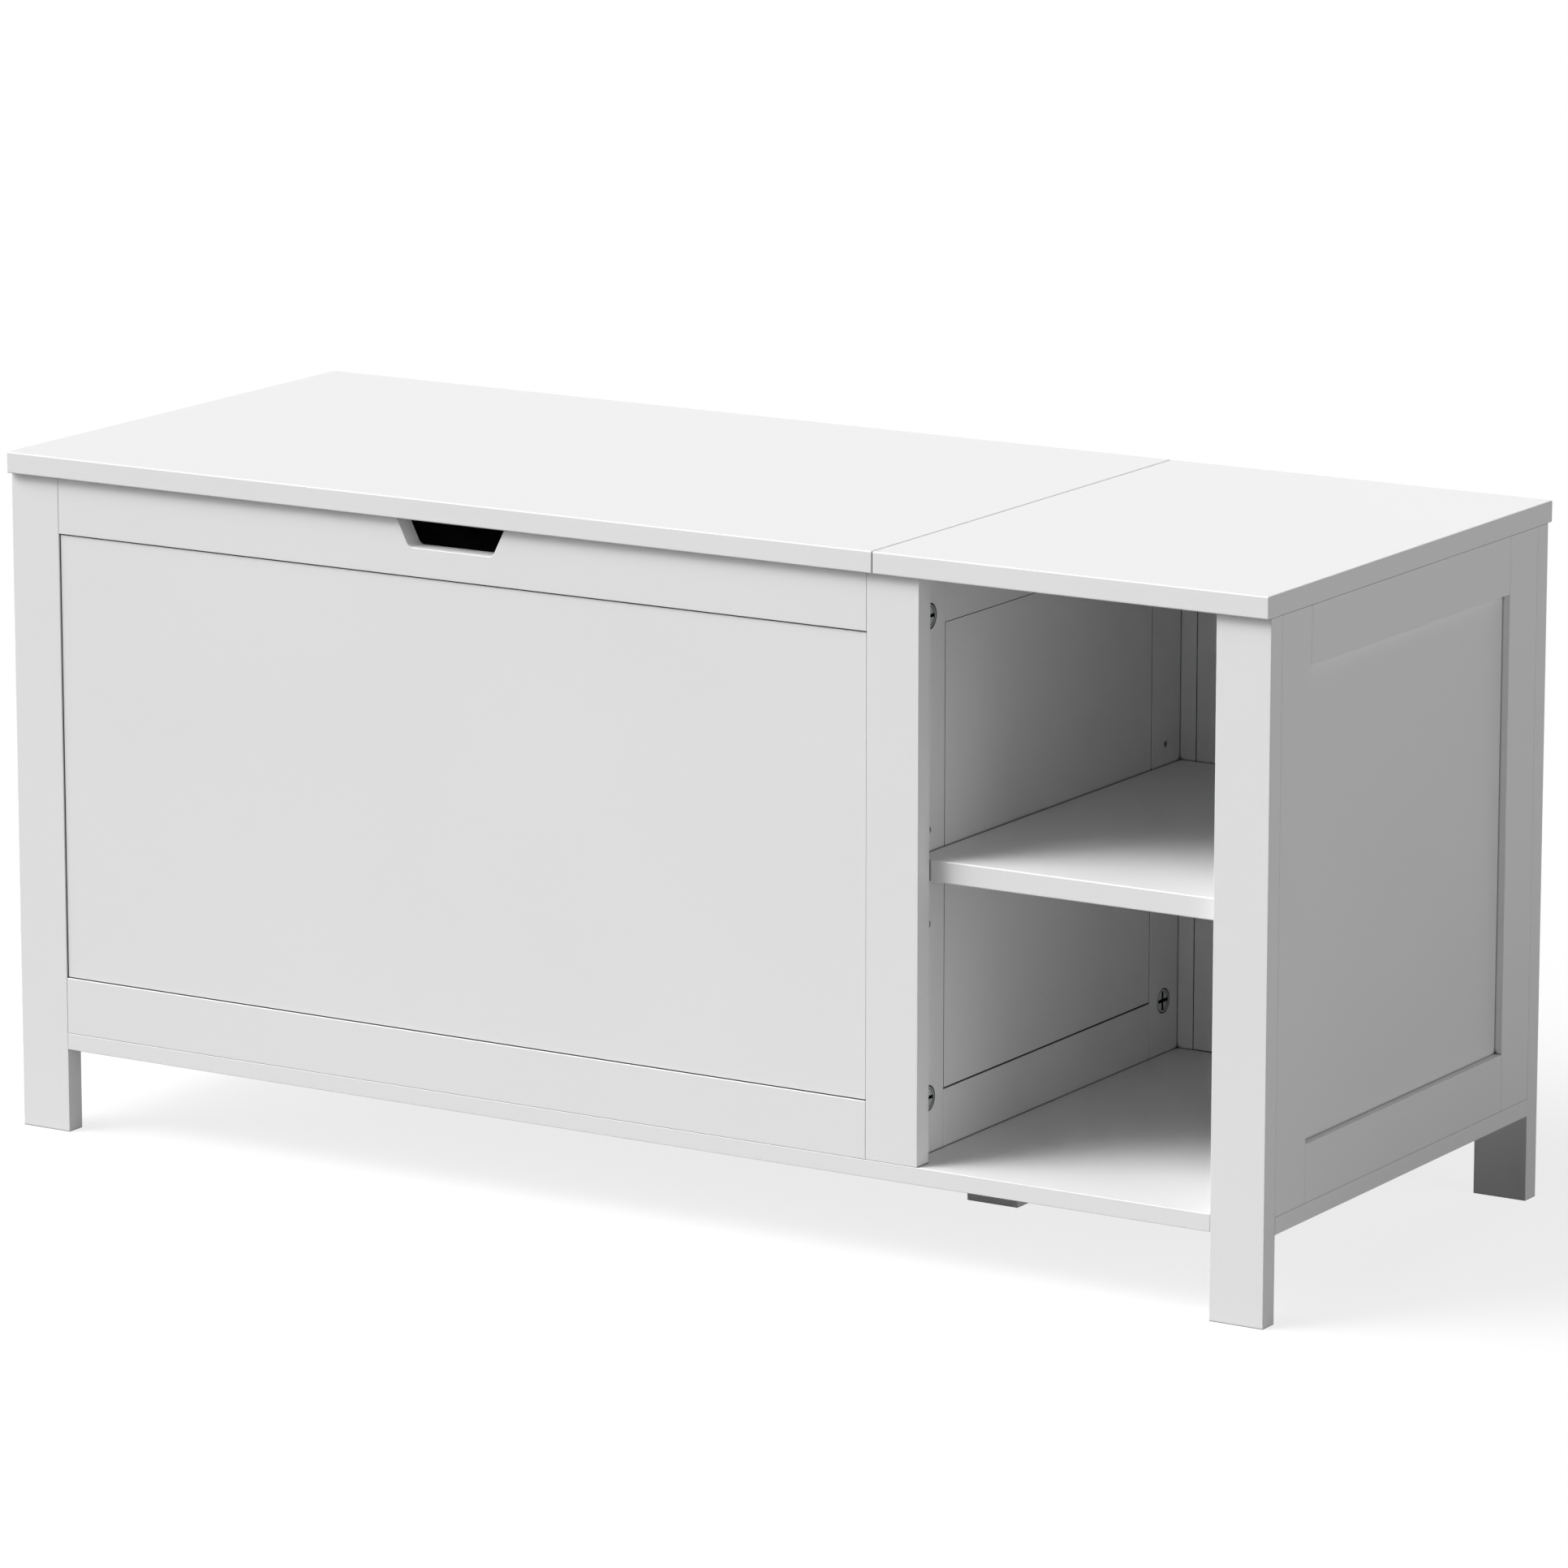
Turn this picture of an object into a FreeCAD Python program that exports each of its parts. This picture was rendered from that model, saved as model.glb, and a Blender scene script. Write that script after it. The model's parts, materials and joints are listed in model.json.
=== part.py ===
import FreeCAD, Part
import os
import re
import Sketcher

# Shoe storage bench: a chest under a hinged seat lid on the left, an open two-tier cubby on the right.
# It is flat-pack furniture of painted boards: legs, frame-and-panel sides, a divider and a bottom board.
# Millimetres. +X runs along the bench, +Y to its back, +Z up. The origin is on the floor under its middle.

SIZES = {
    # The whole bench
    "bench_length": 1000,
    "bench_depth": 400,
    "bench_height": 485,
    "top_thickness": 15,
    "top_round": 1,
    "side_overhang": 0.5,
    "front_overhang": 5,
    "back_overhang": 5,
    "floor_clearance": 60,
    "bottom_thickness": 12,
    "cubby_width": 259,
    "seam_setback": 13,
    "seam_gap": 0.3,
    # Legs, stiles and rails
    "board_thickness": 15,
    "board_round": 0.5,
    "leg_width": 40,
    "mid_stile_width": 40,
    "stile_width": 40,
    "rail_height": 40,
    # Panels and the grooves that hold them
    "panel_thickness": 9.5,
    "panel_gap": 0.8,
    "front_recess": 1.2,
    "tongue_thickness": 4,
    "tongue_depth": 6,
    "groove_clearance": 0.1,
    "groove_spare": 0.5,
    "hole_spare": 0.5,
    # Finger notch under the lid
    "notch_width": 88,
    "notch_slant": 10,
    "notch_depth": 20,
    "notch_round": 5,
    # Support foot beside the divider
    "foot_width": 40,
    "foot_thickness": 15,
    "foot_setback": 25,
    "foot_forward": 11.5,
    "foot_screw_inset": 10,
    # Adjustable shelf
    "shelf_thickness": 15,
    "shelf_clearance": 0.4,
    "pin_diameter": 5,
    "pin_length": 18,
    "pin_depth": 10,
    "pin_height": 189,
    "pin_spacing": 32,
    # Cam locks and their bolts
    "cam_diameter": 18,
    "cam_depth": 12,
    "cam_inset": 0.3,
    "cam_slot_length": 13,
    "cam_slot_width": 2.4,
    "cam_slot_depth": 2,
    "cam_low": 38,
    "cam_high": 33,
    "bolt_diameter": 6,
    "bolt_bite": 11,
    # Dowels
    "dowel_diameter": 8,
    "dowel_length": 30,
    "dowel_inset": 14,
    "top_dowel_bite": 10,
    "top_dowel_sink": 14,
    "top_dowel_inset": 60,
    # Wood screws, large for the boards and small for the fittings
    "screw_diameter": 4,
    "screw_head": 8,
    "screw_head_height": 2.4,
    "screw_length": 35,
    "wall_screw_inset": 40,
    "rail_screw_inset": 110,
    "fitting_screw_diameter": 3,
    "fitting_screw_head": 5.5,
    "fitting_screw_head_height": 1.2,
    "fitting_screw_length": 10,
    # Butt hinges
    "hinge_inset": 120,
    "leaf_length": 60,
    "leaf_thickness": 1.5,
    "leaf_gap": 0.3,
    "leaf_margin": 2,
    "lid_leaf_reach": 22,
    "leaf_screw_inset": 10,
    "knuckle_diameter": 5,
    "knuckle_gap": 0.3,
    "hinge_pin_diameter": 2.6,
    "hinge_pin_head": 4,
    "hinge_pin_head_height": 1,
    "mortise_clearance": 0.2,
    # Slotted lid stays
    "lid_open_angle": 95,
    "stay_radius": 130,
    "stay_lid_gap": 4,
    "stay_stud_gap": 4,
    "stay_seam_gap": 2,
    "arm_width": 16,
    "arm_thickness": 2,
    "arm_spare": 0.5,
    "arm_end": 2,
    "stud_diameter": 6,
    "stud_collar": 10,
    "stud_head": 12,
    "stud_head_height": 2,
    "stud_bite": 10,
    "stud_shank": 4,
    "rivet_diameter": 5,
    "rivet_head": 9,
    "rivet_head_height": 1.2,
    "bracket_thickness": 1.5,
    "bracket_reach": 20,
    "bracket_length": 44,
    "bracket_screw_inset": 7,
    # Room left between pieces that fit or move
    "fit_clearance": 0.05,
    "side_play": 0.3,
}

KNUCKLES = 5
CARCASS_KNUCKLES = (0, 2, 4)
LID_KNUCKLES = (1, 3)
SHELF_HOLE_STEPS = (-1, 0, 1)

doc = FreeCAD.newDocument("shoe_storage_bench")
parts = {}


def write_sizes():
    """Puts each driving size in the sheet, under its own name."""
    sheet = doc.addObject("Spreadsheet::Sheet", "Sizes")
    for row, (name, value) in enumerate(SIZES.items(), start=1):
        sheet.set(f"A{row}", name)
        sheet.set(f"B{row}", str(value))
        sheet.setAlias(f"B{row}", name)
    doc.recompute()


def formula(text):
    """Points every size named in a formula at its cell of the sheet."""
    return re.sub(r"\b[a-z_]+\b", lambda word: f"Sizes.{word[0]}" if word[0] in SIZES else word[0], text)


# Places that several pieces share, as formulas of the sizes
SIDE = "(bench_length / 2 - side_overhang)"
LEFT = f"(-{SIDE})"
FRONT = "(front_overhang - bench_depth / 2)"
BACK = "(bench_depth / 2 - back_overhang)"
FRONT_INSIDE = f"({FRONT} + board_thickness)"
BACK_INSIDE = f"({BACK} - board_thickness)"
FLOOR = "(floor_clearance + bottom_thickness)"
CEILING = "(bench_height - top_thickness)"
LOW_RAIL_TOP = f"({FLOOR} + rail_height)"
HIGH_RAIL_FOOT = f"({CEILING} - rail_height)"
LEFT_LEG_EDGE = f"({LEFT} + leg_width)"
RIGHT_LEG_EDGE = f"({SIDE} - leg_width)"
CUBBY_RIGHT = f"({SIDE} - board_thickness)"
CUBBY_LEFT = f"({CUBBY_RIGHT} - cubby_width)"
DIVIDER_FACE = f"({CUBBY_LEFT} - board_thickness)"
DIVIDER_MIDDLE = f"({CUBBY_LEFT} - board_thickness / 2)"
MID_STILE_LEFT = f"({DIVIDER_MIDDLE} - mid_stile_width / 2)"
MID_STILE_RIGHT = f"({DIVIDER_MIDDLE} + mid_stile_width / 2)"
FRAME_MIDDLES = (f"({LEFT} + board_thickness / 2)", DIVIDER_MIDDLE, f"({SIDE} - board_thickness / 2)")
RAIL_LINES = {"front": f"({FRONT} + board_thickness / 2)", "back": f"({BACK} - board_thickness / 2)"}
SEAM = f"({DIVIDER_MIDDLE} - seam_setback)"
LID_RIGHT = f"({SEAM} - seam_gap / 2)"
FRONT_STILE_EDGE = f"({FRONT_INSIDE} + stile_width)"
BACK_STILE_EDGE = f"({BACK_INSIDE} - stile_width)"
STILE_MIDDLES = (f"({FRONT_INSIDE} + stile_width / 2)", f"({BACK_INSIDE} - stile_width / 2)")
CAM_HEIGHTS = (f"({FLOOR} + cam_low)", f"({CEILING} - cam_high)")
DOWEL_HEIGHTS = (f"({FLOOR} + dowel_inset)", f"({CEILING} - dowel_inset)")
PIN_HEIGHT = f"({FLOOR} + pin_height)"
GROOVE_DEPTH = "(tongue_depth + groove_spare)"
GROOVE_WIDTH = "(tongue_thickness + 2 * groove_clearance)"
PANEL_SHIFT = "(groove_spare - fit_clearance)"
STOPPED_LOW = f"({LOW_RAIL_TOP} - {GROOVE_DEPTH})"
STOPPED_SIZE = f"({HIGH_RAIL_FOOT} - {LOW_RAIL_TOP} + 2 * {GROOVE_DEPTH})"
FRAME_HEIGHT = f"({CEILING} - {FLOOR})"
WALL_RECESS = "(board_thickness - panel_thickness)"
RAIL_LENGTH = f"({MID_STILE_LEFT} - {LEFT_LEG_EDGE})"
RAIL_SCREWS = (f"({LEFT_LEG_EDGE} + rail_screw_inset)", f"(({LEFT_LEG_EDGE} + {MID_STILE_LEFT}) / 2)",
               f"({MID_STILE_LEFT} - rail_screw_inset)")
WALL_SCREWS = (f"({FRONT_STILE_EDGE} + wall_screw_inset)", f"({BACK_STILE_EDGE} - wall_screw_inset)")
TOP_DOWELS = (f"({FRONT_STILE_EDGE} + top_dowel_inset)", f"({BACK_STILE_EDGE} - top_dowel_inset)")
FOOT_MIDDLE = f"({DIVIDER_MIDDLE} - foot_setback)"
FOOT_Y = "(-foot_forward)"
FOOT_SCREWS = (f"({FOOT_MIDDLE} - foot_width / 2 + foot_screw_inset)",
               f"({FOOT_MIDDLE} + foot_width / 2 - foot_screw_inset)")
HINGE_Y = f"({BACK} + knuckle_diameter / 2)"
HINGE_MIDDLES = ("(hinge_inset - bench_length / 2)", f"({LID_RIGHT} - hinge_inset)")
LID_LEAF_SCREW_Y = f"({HINGE_Y} - (lid_leaf_reach + knuckle_diameter / 2) / 2)"
MORTISE_DEPTH = "(leaf_thickness + leaf_gap / 2)"
STAY_WALLS = {"left": f"({LEFT} + board_thickness)", "right": DIVIDER_FACE}
STAY_STANDOFF = f"({DIVIDER_FACE} - {LID_RIGHT} + stay_seam_gap)"
PIVOT_DROP = "(arm_width / 2 + stay_lid_gap)"
STUD_DROP = f"({PIVOT_DROP} + arm_width / 2 + stud_head / 2 + stay_stud_gap)"
STUD_Y = f"({HINGE_Y} - sqrt(stay_radius ^ 2 - {STUD_DROP} ^ 2))"
STUD_Z = f"({CEILING} - {STUD_DROP})"
PIVOT_Y = f"({HINGE_Y} - sqrt(stay_radius ^ 2 - {PIVOT_DROP} ^ 2))"
PIVOT_Z = f"({CEILING} - {PIVOT_DROP})"
STUD_ANGLE = f"asin({STUD_DROP} / stay_radius)"
PIVOT_ANGLE = f"asin({PIVOT_DROP} / stay_radius)"
ARM_TILT = f"({STUD_ANGLE} + {PIVOT_ANGLE}) / 2"
REACH_CLOSED = f"(2 * stay_radius * sin(({STUD_ANGLE} - {PIVOT_ANGLE}) / 2))"
REACH_OPEN = f"(2 * stay_radius * sin(({STUD_ANGLE} - {PIVOT_ANGLE} + lid_open_angle * 1 deg) / 2))"

TURNS = {
    "+X": "rotation(vector(0; 1; 0); 90)",
    "-X": "rotation(vector(0; 1; 0); -90)",
    "+Y": "rotation(vector(1; 0; 0); -90)",
    "-Y": "rotation(vector(1; 0; 0); 90)",
    "+Z": "rotation(vector(0; 0; 1); 0)",
    "-Z": "rotation(vector(1; 0; 0); 180)",
}
HALF_TURN = "rotation(vector(0; 0; 1); 180)"
QUARTER_TURN = "rotation(vector(0; 0; 1); 90)"


def put(thing, place, turn):
    """Sets a Placement by formulas: a point and a turn."""
    x, y, z = (formula(text) for text in place)
    thing.setExpression("Placement", f"placement(vector({x}; {y}; {z}); {formula(turn)})")


class Piece:
    """One piece of the bench, built from features whose places are given in the bench's frame."""

    def __init__(self, label, corner, kept=True):
        self.body = doc.addObject("PartDesign::Body", label)
        self.body.Label = label
        self.corner = corner
        put(self.body, corner, TURNS["+Z"])
        if kept:
            parts[label] = self.body

    def feature(self, kind, sizes, place, turn):
        """Adds one feature, with its sizes and its place bound to the sheet."""
        name = f"{self.body.Name}_{kind}"
        item = self.body.newObject(f"PartDesign::{kind}", name)
        for size, text in sizes.items():
            item.setExpression(size, formula(text))
        local = [f"{text} - {origin}" for text, origin in zip(place, self.corner)]
        put(item, local, turn)
        return item

    def box(self, low, extent, cut=False):
        sizes = dict(zip(("Length", "Width", "Height"), extent))
        return self.feature("SubtractiveBox" if cut else "AdditiveBox", sizes, low, TURNS["+Z"])

    def rod(self, start, axis, diameter, length, cut=False):
        sizes = {"Radius": f"({diameter}) / 2", "Height": length}
        kind = "SubtractiveCylinder" if cut else "AdditiveCylinder"
        return self.feature(kind, sizes, start, TURNS[axis])

    def cone(self, start, axis, near, far, length, cut=False):
        sizes = {"Radius1": f"({near}) / 2", "Radius2": f"({far}) / 2", "Height": length}
        return self.feature("SubtractiveCone" if cut else "AdditiveCone", sizes, start, TURNS[axis])

    def rounded(self, radius, base=None, edges=()):
        """Rounds the named edges of a feature, or all of them."""
        doc.recompute()
        base = base or self.body.Tip
        item = self.body.newObject("PartDesign::Fillet", f"{self.body.Name}_Round")
        item.Base = (base, list(edges))
        item.UseAllEdges = not edges
        item.setExpression("Radius", formula(radius))
        return item

    def bore(self, start, axis, diameter, length):
        """Cuts a hole that a rod of the given diameter fits."""
        return self.rod(start, axis, f"{diameter} + 2 * fit_clearance", length, True)

    def blind_bore(self, start, axis, diameter, length):
        """Cuts a hole that goes a little deeper than the rod in it."""
        return self.bore(start, axis, diameter, f"{length} + hole_spare")

    def countersunk(self, start, axis, size, length):
        """Cuts a hole for a screw of the given kind, with a seat for its head, into the face at start."""
        seat = (f"{size}_head + 2 * fit_clearance", f"{size}_diameter + 2 * fit_clearance")
        self.bore(start, axis, f"{size}_diameter", length)
        self.cone(start, axis, *seat, f"{size}_head_height", True)


def board(label, low, extent, radius="board_round"):
    """A rectangular board with its edges eased."""
    piece = Piece(label, low)
    piece.box(low, extent)
    piece.rounded(radius)
    return piece


def group(label, master, places):
    """Copies of one small piece, set at several places and kept together under one label."""
    copies = []
    for place, turn in places:
        copy = doc.addObject("App::Link", f"{label}_copy")
        copy.LinkedObject = master.body
        put(copy, place, turn)
        copies.append(copy)
    compound = doc.addObject("Part::Compound", label)
    compound.Label = label
    compound.Links = copies
    parts[label] = compound


def layer(face, inward, start, thickness):
    """Low side of a layer that starts some way in from a face and goes inward along +1 or -1."""
    if inward > 0:
        return f"({face} + {start})"
    return f"({face} - {start} - {thickness})"


def panel_groove_x(piece, face, inward, y_low, y_size, z_low, z_size):
    """Groove of a panel that lies across X, centred in the board's thickness."""
    start = f"(board_thickness - {GROOVE_WIDTH}) / 2"
    piece.box((layer(face, inward, start, GROOVE_WIDTH), y_low, z_low), (GROOVE_WIDTH, y_size, z_size), True)


def panel_groove_y(piece, face, inward, x_low, x_size, z_low, z_size):
    """Groove of a panel that lies across Y, centred in the board's thickness."""
    start = f"(board_thickness - {GROOVE_WIDTH}) / 2"
    piece.box((x_low, layer(face, inward, start, GROOVE_WIDTH), z_low), (x_size, GROOVE_WIDTH, z_size), True)


def dowel_bore(piece, place, axis):
    """Half of a dowel's hole, from the joint's face into one of its two boards."""
    piece.blind_bore(place, axis, "dowel_diameter", "dowel_length / 2")


def bolt_bore(piece, place, axis):
    """Blind hole for a cam bolt's thread in a leg or a middle stile."""
    piece.blind_bore(place, axis, "bolt_diameter", "bolt_bite")


def legs():
    """Four upright boards, from the floor to the underside of the top."""
    for end, x_low in (("left", LEFT), ("right", RIGHT_LEG_EDGE)):
        for row, y_low in (("front", FRONT), ("back", BACK_INSIDE)):
            leg = board(f"leg_{row}_{end}", (x_low, y_low, "0"), ("leg_width", "board_thickness", CEILING))
            face, inward, inside, into = (FRONT, 1, FRONT_INSIDE, "-Y")
            if row == "back":
                face, inward, inside, into = (BACK, -1, BACK_INSIDE, "+Y")
            wall_middle = FRAME_MIDDLES[0] if end == "left" else FRAME_MIDDLES[-1]
            for height in CAM_HEIGHTS:
                bolt_bore(leg, (wall_middle, inside, height), into)
            if end == "left":
                groove = f"({LEFT_LEG_EDGE} - {GROOVE_DEPTH})"
                panel_groove_y(leg, face, inward, groove, GROOVE_DEPTH, STOPPED_LOW, STOPPED_SIZE)
                for height in DOWEL_HEIGHTS:
                    dowel_bore(leg, (LEFT_LEG_EDGE, RAIL_LINES[row], height), "-X")
            elif row == "back":
                panel_groove_y(leg, face, inward, RIGHT_LEG_EDGE, GROOVE_DEPTH, FLOOR, FRAME_HEIGHT)


def middle_stiles():
    """The two uprights that stand before and behind the divider."""
    for row, y_low, face, inward, inside, into in (("front", FRONT, FRONT, 1, FRONT_INSIDE, "-Y"),
                                                   ("back", BACK_INSIDE, BACK, -1, BACK_INSIDE, "+Y")):
        extent = ("mid_stile_width", "board_thickness", FRAME_HEIGHT)
        stile = board(f"{row}_mid_stile", (MID_STILE_LEFT, y_low, FLOOR), extent)
        panel_groove_y(stile, face, inward, MID_STILE_LEFT, GROOVE_DEPTH, STOPPED_LOW, STOPPED_SIZE)
        for height in CAM_HEIGHTS:
            bolt_bore(stile, (DIVIDER_MIDDLE, inside, height), into)
        for height in DOWEL_HEIGHTS:
            dowel_bore(stile, (MID_STILE_LEFT, RAIL_LINES[row], height), "+X")
        if row == "back":
            groove = f"({MID_STILE_RIGHT} - {GROOVE_DEPTH})"
            panel_groove_y(stile, face, inward, groove, GROOVE_DEPTH, FLOOR, FRAME_HEIGHT)


def cut_finger_notch(rail):
    """Sinks the trapezoid finger notch into the middle of the front top rail's upper edge."""
    doc.recompute()
    before = rail.body.Shape.Volume
    plane = next(item for item in rail.body.Origin.OriginFeatures if item.Role == "XZ_Plane")
    sketch = rail.body.newObject("Sketcher::SketchObject", "finger_notch_outline")
    sketch.AttachmentSupport = [(plane, "")]
    sketch.MapMode = "FlatFace"
    names = ("notch_width", "notch_slant", "notch_depth", "rail_height")
    mouth, slant, depth, top = (SIZES[name] for name in names)
    floor = mouth - 2 * slant
    corners = [(mouth / 2, top), (floor / 2, top - depth), (-floor / 2, top - depth), (-mouth / 2, top)]
    points = [FreeCAD.Vector(x, y, 0) for x, y in corners]
    for start, end in zip(points, points[1:] + points[:1]):
        sketch.addGeometry(Part.LineSegment(start, end), False)
    for line in range(len(points)):
        sketch.addConstraint(Sketcher.Constraint("Coincident", line, 2, (line + 1) % len(points), 1))
    sketch.addConstraint(Sketcher.Constraint("Horizontal", 1))
    sketch.addConstraint(Sketcher.Constraint("Horizontal", 3))
    driven = (("mouth_x", ("DistanceX", -1, 1, 0, 1, mouth / 2), f"{RAIL_LENGTH} / 2 + notch_width / 2"),
              ("mouth_y", ("DistanceY", -1, 1, 0, 1, top), "rail_height"),
              ("mouth", ("DistanceX", 2, 2, 0, 1, mouth), "notch_width"),
              ("floor", ("DistanceX", 1, 2, 1, 1, floor), "notch_width - 2 * notch_slant"),
              ("slant", ("DistanceX", 1, 1, 0, 1, slant), "notch_slant"),
              ("depth", ("DistanceY", 1, 1, 0, 1, depth), "notch_depth"))
    for name, values, text in driven:
        index = sketch.addConstraint(Sketcher.Constraint(*values))
        sketch.renameConstraint(index, name)
        sketch.setExpression(f"Constraints.{name}", formula(text))
    doc.recompute()
    pocket = rail.body.newObject("PartDesign::Pocket", "finger_notch")
    pocket.Profile = sketch
    pocket.Type = "Length"
    pocket.setExpression("Length", formula("4 * board_thickness"))
    pocket.Midplane = True
    doc.recompute()
    if pocket.Shape.Volume > before - 1:
        raise RuntimeError("the finger notch takes nothing from its rail")
    floor_height = doc.Sizes.rail_height - doc.Sizes.notch_depth
    floor_corners = []
    for index, edge in enumerate(pocket.Shape.Edges, start=1):
        box = edge.BoundBox
        if box.YLength > box.XLength + box.ZLength and abs(box.ZMin - floor_height) < 0.01:
            floor_corners.append(f"Edge{index}")
    rail.rounded("notch_round", pocket, floor_corners)


def long_rails():
    """Top and bottom rails of the chest's front and back."""
    for row, y_low, face, inward in (("front", FRONT, FRONT, 1), ("back", BACK_INSIDE, BACK, -1)):
        middle = RAIL_LINES[row]
        extent = (RAIL_LENGTH, "board_thickness", "rail_height")
        top = Piece(f"{row}_top_rail", (LEFT_LEG_EDGE, y_low, HIGH_RAIL_FOOT))
        top.box(top.corner, extent)
        if row == "front":
            cut_finger_notch(top)
        top.rounded("board_round")
        low = board(f"{row}_bottom_rail", (LEFT_LEG_EDGE, y_low, FLOOR), extent)
        panel_groove_y(top, face, inward, LEFT_LEG_EDGE, RAIL_LENGTH, HIGH_RAIL_FOOT, GROOVE_DEPTH)
        panel_groove_y(low, face, inward, LEFT_LEG_EDGE, RAIL_LENGTH, STOPPED_LOW, GROOVE_DEPTH)
        for rail, height in zip((low, top), DOWEL_HEIGHTS):
            dowel_bore(rail, (LEFT_LEG_EDGE, middle, height), "+X")
            dowel_bore(rail, (MID_STILE_LEFT, middle, height), "-X")
        for x in RAIL_SCREWS:
            bottom_screw_pilot(low, (x, middle, FLOOR))
        if row == "back":
            hinge_mortises(top)


def bottom_screw_pilot(piece, place):
    """Hole for the part of a board screw that stands above the bottom board."""
    piece.blind_bore(place, "+Z", "screw_diameter", "screw_length - bottom_thickness")


def fitting_screw_pilot(piece, place, axis):
    """Hole for one of the fittings' screws."""
    piece.blind_bore(place, axis, "fitting_screw_diameter", "fitting_screw_length")


def hinge_mortises(rail):
    """Shallow seats for the carcass leaves in the back top rail."""
    for middle in HINGE_MIDDLES:
        x_low = f"({middle} - leaf_length / 2 - mortise_clearance)"
        y_low = f"({BACK_INSIDE} + leaf_margin - mortise_clearance)"
        rail.box((x_low, y_low, f"({CEILING} - {MORTISE_DEPTH})"),
                 ("leaf_length + 2 * mortise_clearance", f"{BACK} - {y_low}", MORTISE_DEPTH), True)
        for x in leaf_screws(middle):
            fitting_screw_pilot(rail, (x, RAIL_LINES["back"], CEILING), "-Z")


def leaf_screws(middle):
    """Screw places along one hinge leaf."""
    return [f"({middle} + {step} * (leaf_length / 2 - leaf_screw_inset))" for step in (-1, 0, 1)]


def thin_panel_y(label, face, inward, recess, x_low, x_high, z_low, z_high, z_tongue):
    """A panel across Y, with a tongue at its ends and, where z_tongue is set, at its top and bottom."""
    gap_low = (f"({x_low} + panel_gap)", f"({z_low} + panel_gap)")
    extent = (f"{x_high} - {x_low} - 2 * panel_gap", "panel_thickness", f"{z_high} - {z_low} - 2 * panel_gap")
    field = (gap_low[0], layer(face, inward, recess, "panel_thickness"), gap_low[1])
    piece = Piece(label, field)
    piece.box(field, extent)
    tongue_y = layer(face, inward, "(board_thickness - tongue_thickness) / 2", "tongue_thickness")
    z_start, z_size = (f"({z_low} - tongue_depth)", f"{z_high} - {z_low} + 2 * tongue_depth")
    if not z_tongue:
        z_start, z_size = (gap_low[1], extent[2])
    piece.box((f"({x_low} - tongue_depth)", tongue_y, z_start),
              (f"{x_high} - {x_low} + 2 * tongue_depth", "tongue_thickness", z_size))


def chest_and_cubby_panels():
    """The recessed panels of the chest's front and back, and the cubby's plain back."""
    for row, face, inward in (("front", FRONT, 1), ("back", BACK, -1)):
        corners = (LEFT_LEG_EDGE, MID_STILE_LEFT, LOW_RAIL_TOP, HIGH_RAIL_FOOT)
        thin_panel_y(f"{row}_panel", face, inward, "front_recess", *corners, True)
    corners = (MID_STILE_RIGHT, RIGHT_LEG_EDGE, FLOOR, CEILING)
    thin_panel_y("cubby_back_panel", BACK, -1, WALL_RECESS, *corners, False)


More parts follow.
